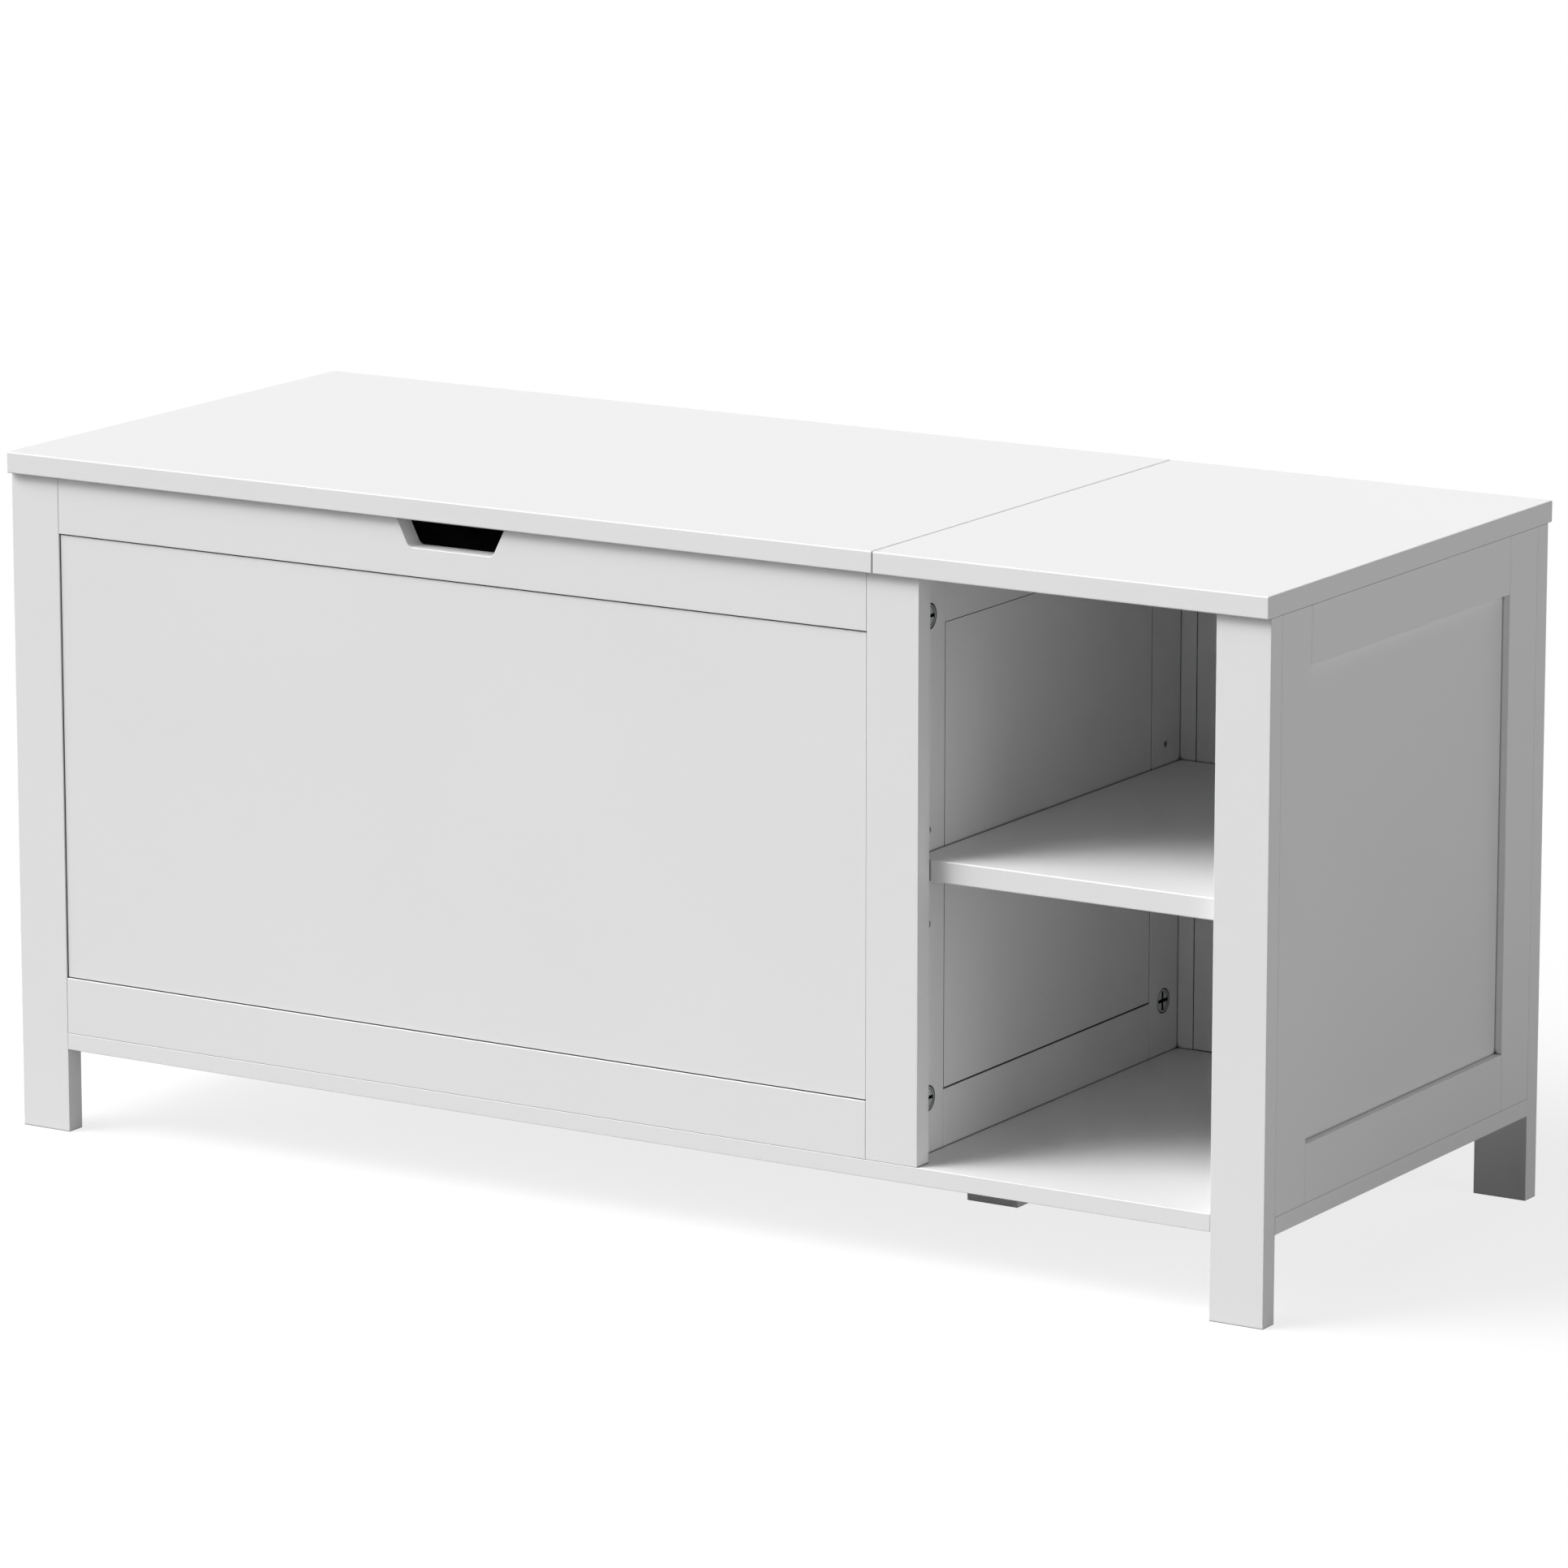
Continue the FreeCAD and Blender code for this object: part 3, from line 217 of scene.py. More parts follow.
def satin_white_lacquer():
    """Sprayed satin lacquer on sanded fibreboard.

    It gives the eye an even, neutral white with a blurred sheen. The sheen drifts a little from one spray pass
    to the next and is broken by a faint orange peel, and the arrises are polished by handling. Painted shade
    greys the joint lines, gaps and inner corners where walls stand close, and turns the bores near black.
    """
    material, tree, shader = new_material("sprayed_satin_lacquer_on_fibreboard")
    place = add(tree, "ShaderNodeTexCoord").outputs["Object"]
    passes = add(tree, "ShaderNodeTexNoise",
                 {"Vector": place, "Scale": 1 / (SPRAY_PASS * MM), "Detail": 3.0}).outputs["Fac"]
    peel = add(tree, "ShaderNodeTexNoise",
               {"Vector": place, "Scale": 1 / (ORANGE_PEEL * MM), "Detail": 2.0}).outputs["Fac"]
    white = add(tree, "ShaderNodeMix", {"Factor": passes, 6: linear("#EFEFEF"), 7: linear("#F2F2F2")},
                data_type="RGBA").outputs[2]
    # Painted shade: grey in the joint lines, gaps and inner corners, where other walls stand within reach
    crevice_shade = open_air(tree, CREVICE_SHADE_REACH, CREVICE_SHADE_AIR)
    crevice_shaded = add(tree, "ShaderNodeMix", {"Factor": crevice_shade, 6: linear("#6E6E6C"), 7: white},
                 data_type="RGBA").outputs[2]
    # Painted shade: near black down in the bores
    hole_shade = open_air(tree, HOLE_SHADE_REACH, HOLE_SHADE_AIR)
    hole_shaded = add(tree, "ShaderNodeMix", {"Factor": hole_shade, 6: linear("#4A4744"), 7: crevice_shaded},
                  data_type="RGBA").outputs[2]
    soft = add(tree, "ShaderNodeBevel", {"Radius": HANDLED_ARRIS * MM}, samples=ARRIS_SAMPLES).outputs["Normal"]
    sharp = add(tree, "ShaderNodeNewGeometry").outputs["True Normal"]
    flat = add(tree, "ShaderNodeVectorMath", {0: soft, 1: sharp}, operation="DOT_PRODUCT").outputs["Value"]
    handled = add(tree, "ShaderNodeMapRange", {"Value": flat, "From Min": 0.7, "From Max": 0.98,
                                               "To Min": -0.12, "To Max": 0.0}).outputs["Result"]
    drift = add(tree, "ShaderNodeMapRange", {"Value": passes, "From Min": 0.3, "From Max": 0.7,
                                             "To Min": 0.40, "To Max": 0.48}).outputs["Result"]
    sheen = add(tree, "ShaderNodeMath", {0: drift, 1: handled}).outputs["Value"]
    bump = add(tree, "ShaderNodeBump", {"Strength": 0.25, "Distance": PEEL_DEPTH * MM, "Height": peel})
    tree.links.new(hole_shaded, shader.inputs["Base Color"])
    tree.links.new(sheen, shader.inputs["Roughness"])
    tree.links.new(bump.outputs["Normal"], shader.inputs["Normal"])
    return material


def bright_zinc_plate():
    """Rolled steel, pressed or turned, then bright zinc plated.

    It gives the eye a cool silver with fine lines from the rolling, and cloudy patches where the plate dried.
    """
    material, tree, shader = new_material("bright_zinc_plated_steel")
    place = add(tree, "ShaderNodeTexCoord").outputs["Object"]
    along = add(tree, "ShaderNodeMapping", {"Vector": place, "Scale": ROLLING_STRETCH}).outputs["Vector"]
    lines = add(tree, "ShaderNodeTexNoise",
                {"Vector": along, "Scale": 1 / (ROLLING_LINE * MM), "Detail": 2.0}).outputs["Fac"]
    clouds = add(tree, "ShaderNodeTexNoise",
                 {"Vector": place, "Scale": 1 / (PLATE_CLOUD * MM), "Detail": 4.0}).outputs["Fac"]
    silver = add(tree, "ShaderNodeMix", {"Factor": clouds, 6: linear("#B9BDC2"), 7: linear("#D3D6D8")},
                 data_type="RGBA").outputs[2]
    rough = add(tree, "ShaderNodeMapRange", {"Value": clouds, "From Min": 0.3, "From Max": 0.7,
                                             "To Min": 0.24, "To Max": 0.38}).outputs["Result"]
    bump = add(tree, "ShaderNodeBump", {"Strength": 0.3, "Distance": ROLLING_DEPTH * MM, "Height": lines})
    shader.inputs["Metallic"].default_value = 1.0
    tree.links.new(silver, shader.inputs["Base Color"])
    tree.links.new(rough, shader.inputs["Roughness"])
    tree.links.new(bump.outputs["Normal"], shader.inputs["Normal"])
    return material


def die_cast_zinc():
    """Zinc alloy as it comes out of the die and the tumbling drum.

    It gives the eye a pale silver grey with a fine cast grain, smoother where the drum rubbed the high spots,
    and a driver slot painted near black as painted shade, like the other hollows of the cam.
    """
    material, tree, shader = new_material("tumbled_die_cast_zinc")
    place = add(tree, "ShaderNodeTexCoord").outputs["Object"]
    grain = add(tree, "ShaderNodeTexNoise",
                {"Vector": place, "Scale": 1 / (CAST_GRAIN * MM), "Detail": 4.0}).outputs["Fac"]
    rubs = add(tree, "ShaderNodeTexNoise",
               {"Vector": place, "Scale": 1 / (DRUM_RUB * MM), "Detail": 3.0}).outputs["Fac"]
    grey = add(tree, "ShaderNodeMix", {"Factor": rubs, 6: linear("#CDCFD1"), 7: linear("#E0E2E3")},
               data_type="RGBA").outputs[2]
    rough = add(tree, "ShaderNodeMapRange", {"Value": rubs, "From Min": 0.3, "From Max": 0.7,
                                             "To Min": 0.62, "To Max": 0.45}).outputs["Result"]
    # Painted shade: near black in the driver slot and the other hollows of the cam
    slot_shade = open_air(tree, SLOT_SHADE_REACH, SLOT_SHADE_AIR)
    slot_shaded = add(tree, "ShaderNodeMix", {"Factor": slot_shade, 6: linear("#1C1C1B"), 7: grey},
                  data_type="RGBA").outputs[2]
    bump = add(tree, "ShaderNodeBump", {"Strength": 0.4, "Distance": CAST_DEPTH * MM, "Height": grain})
    shader.inputs["Metallic"].default_value = 1.0
    tree.links.new(slot_shaded, shader.inputs["Base Color"])
    tree.links.new(rough, shader.inputs["Roughness"])
    tree.links.new(bump.outputs["Normal"], shader.inputs["Normal"])
    return material


def planed_beech():
    """Beech, moulded to fluted dowel rod and left bare.

    It gives the eye a pinkish tan with short darker flecks along the rod. The rod's own coordinates turn the
    grain.
    """
    material, tree, shader = new_material("moulded_bare_beech")
    own = add(tree, "ShaderNodeAttribute", attribute_name="own_place").outputs["Vector"]
    along = add(tree, "ShaderNodeMapping", {"Vector": own, "Scale": GRAIN_STRETCH}).outputs["Vector"]
    flecks = add(tree, "ShaderNodeTexNoise",
                 {"Vector": along, "Scale": 1 / (BEECH_FLECK * MM), "Detail": 3.0}).outputs["Fac"]
    rings = add(tree, "ShaderNodeTexNoise",
                {"Vector": along, "Scale": 1 / (BEECH_RING * MM), "Detail": 2.0}).outputs["Fac"]
    tan = add(tree, "ShaderNodeMix", {"Factor": rings, 6: linear("#D9B68F"), 7: linear("#C79E74")},
              data_type="RGBA").outputs[2]
    dark = add(tree, "ShaderNodeMapRange", {"Value": flecks, "From Min": 0.58, "From Max": 0.7,
                                            "To Min": 0.0, "To Max": 0.7}).outputs["Result"]
    wood = add(tree, "ShaderNodeMix", {"Factor": dark, 6: tan, 7: linear("#9C7048")},
               data_type="RGBA").outputs[2]
    bump = add(tree, "ShaderNodeBump", {"Strength": 0.4, "Distance": FLECK_DEPTH * MM, "Height": flecks})
    rough = add(tree, "ShaderNodeMapRange", {"Value": rings, "To Min": 0.55, "To Max": 0.7}).outputs["Result"]
    tree.links.new(wood, shader.inputs["Base Color"])
    tree.links.new(rough, shader.inputs["Roughness"])
    tree.links.new(bump.outputs["Normal"], shader.inputs["Normal"])
    return material


def new_tree(name, sizes):
    """A Geometry Nodes tree with a named input for each size, and its input sockets."""
    tree = bpy.data.node_groups.new(name, "GeometryNodeTree")
    tree.interface.new_socket("Geometry", in_out="INPUT", socket_type="NodeSocketGeometry")
    for size in sizes:
        tree.interface.new_socket(size, in_out="INPUT", socket_type="NodeSocketFloat")
    tree.interface.new_socket("Material", in_out="INPUT", socket_type="NodeSocketMaterial")
    tree.interface.new_socket("Geometry", in_out="OUTPUT", socket_type="NodeSocketGeometry")
    return tree, add(tree, "NodeGroupInput").outputs


def place_items(tree, size, item):
    """Ends a tree: the item keeps its own coordinates, stands on each point facing its way, and is made real."""
    angle = add(tree, "GeometryNodeInputMeshEdgeAngle").outputs[0]
    steep = add(tree, "FunctionNodeCompare", {"A": angle, "B": math.radians(SHARP_EDGE)},
                operation="GREATER_THAN").outputs[0]
    smooth = add(tree, "GeometryNodeSetShadeSmooth", {"Geometry": item}, domain="FACE").outputs[0]
    edged = add(tree, "GeometryNodeSetShadeSmooth",
                {"Geometry": smooth, "Selection": steep, "Shade Smooth": False}, domain="EDGE").outputs[0]
    place = add(tree, "GeometryNodeInputPosition").outputs[0]
    own = add(tree, "GeometryNodeStoreNamedAttribute", {"Geometry": edged, "Name": "own_place", "Value": place},
              data_type="FLOAT_VECTOR", domain="POINT").outputs[0]
    facing = add(tree, "GeometryNodeInputNamedAttribute", {"Name": "facing"}, data_type="FLOAT_VECTOR")
    turn = add(tree, "FunctionNodeAlignRotationToVector", {"Vector": facing.outputs["Attribute"]}, axis="Z")
    placed = add(tree, "GeometryNodeInstanceOnPoints",
                 {"Points": size["Geometry"], "Instance": own, "Rotation": turn.outputs[0]}).outputs[0]
    real = add(tree, "GeometryNodeRealizeInstances", {"Geometry": placed}).outputs[0]
    finished = add(tree, "GeometryNodeSetMaterial", {"Geometry": real, "Material": size["Material"]})
    add(tree, "NodeGroupOutput", {"Geometry": finished.outputs[0]})
    return tree


def grooved_rod(tree, length, diameter, groove, starts, crests, rings, chamfer):
    """A rod along +Z from the origin, with grooves along it or round it, and narrowed ends."""
    radius = add(tree, "ShaderNodeMath", {0: diameter, 1: 2.0}, operation="DIVIDE").outputs[0]
    rod = add(tree, "GeometryNodeMeshCylinder",
              {"Vertices": ROUND, "Side Segments": rings, "Radius": radius, "Depth": length}).outputs["Mesh"]
    place = add(tree, "GeometryNodeInputPosition").outputs[0]
    part = add(tree, "ShaderNodeSeparateXYZ", {0: place}).outputs
    angle = add(tree, "ShaderNodeMath", {0: part["Y"], 1: part["X"]}, operation="ARCTAN2").outputs[0]
    about = add(tree, "ShaderNodeMath", {0: angle, 1: starts / math.tau}, operation="MULTIPLY").outputs[0]
    phase = add(tree, "ShaderNodeMath", {0: part["Z"], 1: crests, 2: about},
                operation="MULTIPLY_ADD").outputs[0]
    wave = add(tree, "ShaderNodeMath", {0: phase, 1: 0.5}, operation="PINGPONG").outputs[0]
    depth = add(tree, "ShaderNodeMath", {0: wave, 1: groove}, operation="MULTIPLY").outputs[0]
    share = add(tree, "ShaderNodeMath", {0: depth, 1: radius}, operation="DIVIDE").outputs[0]
    body = add(tree, "ShaderNodeMath", {0: 1.0, 1: share}, operation="SUBTRACT").outputs[0]
    half = add(tree, "ShaderNodeMath", {0: length, 1: 2.0}, operation="DIVIDE").outputs[0]
    from_middle = add(tree, "ShaderNodeMath", {0: part["Z"]}, operation="ABSOLUTE").outputs[0]
    to_end = add(tree, "ShaderNodeMath", {0: half, 1: from_middle}, operation="SUBTRACT").outputs[0]
    taken = add(tree, "ShaderNodeMath", {0: chamfer, 1: radius}, operation="DIVIDE").outputs[0]
    narrowed = add(tree, "ShaderNodeMath", {0: 1.0, 1: taken}, operation="SUBTRACT").outputs[0]
    ends = add(tree, "ShaderNodeMapRange",
               {"Value": to_end, "From Max": chamfer, "To Min": narrowed}).outputs[0]
    factor = add(tree, "ShaderNodeMath", {0: body, 1: ends}, operation="MULTIPLY").outputs[0]
    scale = add(tree, "ShaderNodeCombineXYZ", {"X": factor, "Y": factor, "Z": 1.0}).outputs[0]
    moved = add(tree, "ShaderNodeVectorMath", {0: place, 1: scale}, operation="MULTIPLY").outputs[0]
    shaped = add(tree, "GeometryNodeSetPosition", {"Geometry": rod, "Position": moved}).outputs[0]
    up = add(tree, "ShaderNodeCombineXYZ", {"Z": half}).outputs[0]
    return add(tree, "GeometryNodeTransform", {"Geometry": shaped, "Translation": up}).outputs[0]


def cross_cutters(tree, length, width, depth, centre_width, centre_depth):
    """The cross slot of a driven face at the origin, open towards -Z, cut towards +Z, with a deeper middle."""
    twice = add(tree, "ShaderNodeMath", {0: depth, 1: 2.0}, operation="MULTIPLY").outputs[0]
    cutters = []
    for x, y in ((length, width), (width, length)):
        extent = add(tree, "ShaderNodeCombineXYZ", {"X": x, "Y": y, "Z": twice}).outputs[0]
        cutters.append(add(tree, "GeometryNodeMeshCube", {"Size": extent}).outputs["Mesh"])
    radius = add(tree, "ShaderNodeMath", {0: centre_width, 1: 2.0}, operation="DIVIDE").outputs[0]
    point = add(tree, "GeometryNodeMeshCone", {"Vertices": ROUND // 2, "Radius Top": 0.0,
                                               "Radius Bottom": radius, "Depth": centre_depth})
    return [*cutters, point.outputs["Mesh"]]


def thread(tree, diameter, pitch):
    """Groove depth of a thread, and its crests for each metre."""
    groove = add(tree, "ShaderNodeMath", {0: diameter, 1: THREAD_DEPTH}, operation="MULTIPLY").outputs[0]
    return groove, add(tree, "ShaderNodeMath", {0: 1.0, 1: pitch}, operation="DIVIDE").outputs[0]


def screw_tree():
    """Countersunk wood screws that point along +Z: cross recess, threaded shank and point."""
    cross_names = ("Slot Length", "Slot Width", "Slot Depth", "Centre Width", "Centre Depth")
    names = ("Length", "Head", "Head Height", "Shank", "Pitch", *cross_names)
    tree, size = new_tree("cross_head_screws", names)
    half_head = add(tree, "ShaderNodeMath", {0: size["Head"], 1: 0.5}, operation="MULTIPLY").outputs[0]
    half_shank = add(tree, "ShaderNodeMath", {0: size["Shank"], 1: 0.5}, operation="MULTIPLY").outputs[0]
    head = add(tree, "GeometryNodeMeshCone",
               {"Vertices": ROUND, "Radius Top": half_shank, "Radius Bottom": half_head,
                "Depth": size["Head Height"]}).outputs["Mesh"]
    groove, crests = thread(tree, size["Shank"], size["Pitch"])
    inset = add(tree, "ShaderNodeMath", {0: size["Head Height"], 1: SCREW_INSET},
                operation="MULTIPLY").outputs[0]
    below = add(tree, "ShaderNodeMath", {0: size["Length"], 1: inset}, operation="SUBTRACT").outputs[0]
    turns = add(tree, "ShaderNodeMath", {0: below, 1: crests}, operation="MULTIPLY").outputs[0]
    rings = add(tree, "ShaderNodeMath", {0: turns, 1: THREAD_RINGS}, operation="MULTIPLY").outputs[0]
    point = add(tree, "ShaderNodeMath", {0: half_shank, 1: SCREW_POINT}, operation="MULTIPLY").outputs[0]
    shank = grooved_rod(tree, below, size["Shank"], groove, -1, crests, rings, point)
    lift = add(tree, "ShaderNodeCombineXYZ", {"Z": inset}).outputs[0]
    shank = add(tree, "GeometryNodeTransform", {"Geometry": shank, "Translation": lift}).outputs[0]
    whole = add(tree, "GeometryNodeMeshBoolean", {"Mesh 2": [head, shank]},
                operation="UNION", solver="EXACT").outputs[0]
    cross = cross_cutters(tree, *(size[name] for name in cross_names))
    driven = add(tree, "GeometryNodeMeshBoolean", {"Mesh 1": whole, "Mesh 2": cross},
                 operation="DIFFERENCE", solver="EXACT").outputs[0]
    return place_items(tree, size, driven)


def cam_tree():
    """Cam locks that face along -Z: a chamfered disc with a dished face, cross slot and a bore for its bolt."""
    cross_names = ("Slot Length", "Slot Width", "Slot Depth", "Centre Width", "Centre Depth")
    names = ("Diameter", "Height", "Chamfer", "Rim", "Dish", *cross_names, "Bolt Bore", "Bolt Depth")
    tree, size = new_tree("cam_locks", names)
    radius = add(tree, "ShaderNodeMath", {0: size["Diameter"], 1: 0.5}, operation="MULTIPLY").outputs[0]
    drum_height = add(tree, "ShaderNodeMath", {0: size["Height"], 1: size["Chamfer"]},
                      operation="SUBTRACT").outputs[0]
    drum = add(tree, "GeometryNodeMeshCylinder",
               {"Vertices": ROUND, "Radius": radius, "Depth": drum_height}).outputs
    low = add(tree, "ShaderNodeMath", {0: drum_height, 1: 0.5, 2: size["Chamfer"]},
              operation="MULTIPLY_ADD").outputs[0]
    drum_place = add(tree, "ShaderNodeCombineXYZ", {"Z": low}).outputs[0]
    shape = add(tree, "GeometryNodeTransform",
                {"Geometry": drum["Mesh"], "Translation": drum_place}).outputs[0]
    face_radius = add(tree, "ShaderNodeMath", {0: radius, 1: size["Chamfer"]},
                      operation="SUBTRACT").outputs[0]
    dish_radius = add(tree, "ShaderNodeMath", {0: face_radius, 1: size["Rim"]},
                      operation="SUBTRACT").outputs[0]
    sunk = add(tree, "ShaderNodeMath", {0: 0.0, 1: size["Dish"]}, operation="SUBTRACT").outputs[0]
    face, old = drum["Bottom"], radius
    for rise, new in ((size["Chamfer"], face_radius), (0.0, dish_radius), (sunk, dish_radius)):
        step = add(tree, "GeometryNodeExtrudeMesh", {"Mesh": shape, "Selection": face, "Offset Scale": rise,
                                                     "Individual": False}).outputs
        ratio = add(tree, "ShaderNodeMath", {0: new, 1: old}, operation="DIVIDE").outputs[0]
        shape = add(tree, "GeometryNodeScaleElements",
                    {"Geometry": step["Mesh"], "Selection": step["Top"], "Scale": ratio}).outputs[0]
        face, old = step["Top"], new
    bore_radius = add(tree, "ShaderNodeMath", {0: size["Bolt Bore"], 1: 0.5}, operation="MULTIPLY").outputs[0]
    bore = add(tree, "GeometryNodeMeshCylinder",
               {"Vertices": ROUND // 2, "Depth": size["Diameter"], "Radius": bore_radius}).outputs["Mesh"]
    bore_place = add(tree, "ShaderNodeCombineXYZ", {"Y": radius, "Z": size["Bolt Depth"]}).outputs[0]
    bored = add(tree, "GeometryNodeTransform", {"Geometry": bore, "Translation": bore_place,
                                                "Rotation": (math.pi / 2, 0.0, 0.0)}).outputs[0]
    cross = cross_cutters(tree, *(size[name] for name in cross_names))
    cut = add(tree, "GeometryNodeMeshBoolean", {"Mesh 1": shape, "Mesh 2": [*cross, bored]},
              operation="DIFFERENCE", solver="EXACT").outputs[0]
    return place_items(tree, size, cut)


def bolt_tree():
    """Cam bolts along +Z: a threaded end, a plain shaft, a neck and a round head for the cam."""
    names = ("Length", "Thread", "Thread Length", "Pitch", "Shaft", "Neck", "Neck Length", "Head")
    tree, size = new_tree("cam_bolts", names)
    bite = size["Thread Length"]
    groove, crests = thread(tree, size["Thread"], size["Pitch"])
    turns = add(tree, "ShaderNodeMath", {0: bite, 1: crests}, operation="MULTIPLY").outputs[0]
    rings = add(tree, "ShaderNodeMath", {0: turns, 1: THREAD_RINGS}, operation="MULTIPLY").outputs[0]
    bitten = grooved_rod(tree, bite, size["Thread"], groove, -1, crests, rings, size["Pitch"])
    head_radius = add(tree, "ShaderNodeMath", {0: size["Head"], 1: 0.5}, operation="MULTIPLY").outputs[0]
    top = add(tree, "ShaderNodeMath", {0: size["Length"], 1: head_radius}, operation="SUBTRACT").outputs[0]
    neck_foot = add(tree, "ShaderNodeMath", {0: top, 1: size["Neck Length"]},
                    operation="SUBTRACT").outputs[0]
    ball = add(tree, "GeometryNodeMeshUVSphere",
               {"Segments": ROUND // 2, "Rings": ROUND // 4, "Radius": head_radius}).outputs["Mesh"]
    ball_place = add(tree, "ShaderNodeCombineXYZ", {"Z": top}).outputs[0]
    head = add(tree, "GeometryNodeTransform", {"Geometry": ball, "Translation": ball_place}).outputs[0]
    parts = [bitten, head]
    start = add(tree, "ShaderNodeMath", {0: bite, 1: 0.5}, operation="MULTIPLY").outputs[0]
    for end, across in ((neck_foot, size["Shaft"]), (top, size["Neck"])):
        length = add(tree, "ShaderNodeMath", {0: end, 1: start}, operation="SUBTRACT").outputs[0]
        centre = add(tree, "ShaderNodeMath", {0: length, 1: 0.5, 2: start},
                     operation="MULTIPLY_ADD").outputs[0]
        radius = add(tree, "ShaderNodeMath", {0: across, 1: 0.5}, operation="MULTIPLY").outputs[0]
        rod = add(tree, "GeometryNodeMeshCylinder",
                  {"Vertices": ROUND // 2, "Depth": length, "Radius": radius}).outputs["Mesh"]
        rod_place = add(tree, "ShaderNodeCombineXYZ", {"Z": centre}).outputs[0]
        parts.append(add(tree, "GeometryNodeTransform",
                         {"Geometry": rod, "Translation": rod_place}).outputs[0])
    whole = add(tree, "GeometryNodeMeshBoolean", {"Mesh 2": parts},
                operation="UNION", solver="EXACT").outputs[0]
    return place_items(tree, size, whole)


def peg_tree(name, flutes):
    """Plain or fluted pegs along +Z with chamfered ends."""
    tree, size = new_tree(name, ("Length", "Diameter", "Flute Depth", "Chamfer"))
    rod = grooved_rod(tree, size["Length"], size["Diameter"], size["Flute Depth"], flutes, 0.0, PEG_RINGS,
                      size["Chamfer"])
    return place_items(tree, size, rod)


def solids(node):
    """Lowest and highest corners of each separate solid in one CAD node, from a merged copy of its mesh."""
    copy = bmesh.new()
    copy.from_mesh(frame["nodes"][node].data)
    bmesh.ops.remove_doubles(copy, verts=copy.verts, dist=WELD * MM)
    seen, boxes = set(), []
    for start in copy.verts:
        if start in seen:
            continue
        island = [start]
        seen.add(start)
        for vert in island:
            near = [edge.other_vert(vert) for edge in vert.link_edges]
            island.extend(other for other in near if other not in seen)
            seen.update(near)
        corners = list(zip(*(vert.co for vert in island)))
        boxes.append((Vector(map(min, corners)), Vector(map(max, corners))))
    copy.free()
    return boxes


def fit_pieces(name, node, material, tree, sizes, places):
    """Runs a tree on its places, with sizes in mm, and puts its plain mesh in the CAD node's stead."""
    points = bpy.data.meshes.new(name)
    points.from_pydata([place for place, _ in places], [], [])
    facing = points.attributes.new("facing", "FLOAT_VECTOR", "POINT")
    for entry, (_, direction) in zip(facing.data, places):
        entry.vector = direction
    piece = bpy.data.objects.new(name, points)
    bpy.context.scene.collection.objects.link(piece)
    nodes = piece.modifiers.new(name, "NODES")
    nodes.node_group = tree
    for socket in tree.interface.items_tree:
        if socket.name in sizes:
            nodes[socket.identifier] = sizes[socket.name] * MM
        elif socket.name == "Material":
            nodes[socket.identifier] = material
    drawn = piece.evaluated_get(bpy.context.evaluated_depsgraph_get())
    mesh = bpy.data.meshes.new_from_object(drawn)
    piece.modifiers.remove(nodes)
    piece.data = mesh
    mesh.name = name
    bpy.data.meshes.remove(points)
    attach(piece, frame["nodes"][node]["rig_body"])
    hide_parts(node)


def middle(box):
    """Middle of a box given as its lowest and highest corners."""
    return (box[0] + box[1]) / 2


def fit_screws(steel):
    """Every wood screw: those of the boards and feet, and the small ones of the hinges and stays."""
    tree = screw_tree()
    groups = {"bottom_screws": (1, BOARD_SCREW_HEAD), "foot_screws": (-1, BOARD_SCREW_HEAD),
              "hinge_carcass_screws": (-1, FITTING_SCREW_HEAD), "hinge_lid_screws": (1, FITTING_SCREW_HEAD),
              "stay_bracket_screws": (1, FITTING_SCREW_HEAD)}
    for node, (way, head_height) in groups.items():
        boxes = solids(node)
        low, high = boxes[0]
        head = (high.x - low.x) / MM
        shares = {"Head": 1, "Head Height": head_height, "Shank": SCREW_SHANK, "Pitch": SCREW_PITCH,
                  "Slot Length": SCREW_SLOT[0], "Slot Width": SCREW_SLOT[1], "Slot Depth": SCREW_SLOT[2],
                  "Centre Width": SCREW_CENTRE[0], "Centre Depth": SCREW_CENTRE[1]}
        sizes = {name: share * head for name, share in shares.items()}
        sizes["Length"] = (high.z - low.z) / MM
        places = []
        for low, high in boxes:
            place = middle((low, high))
            place.z = low.z if way > 0 else high.z
            places.append((place, way * Z))
        fit_pieces(node.replace("screws", "screw_set"), node, steel, tree, sizes, places)


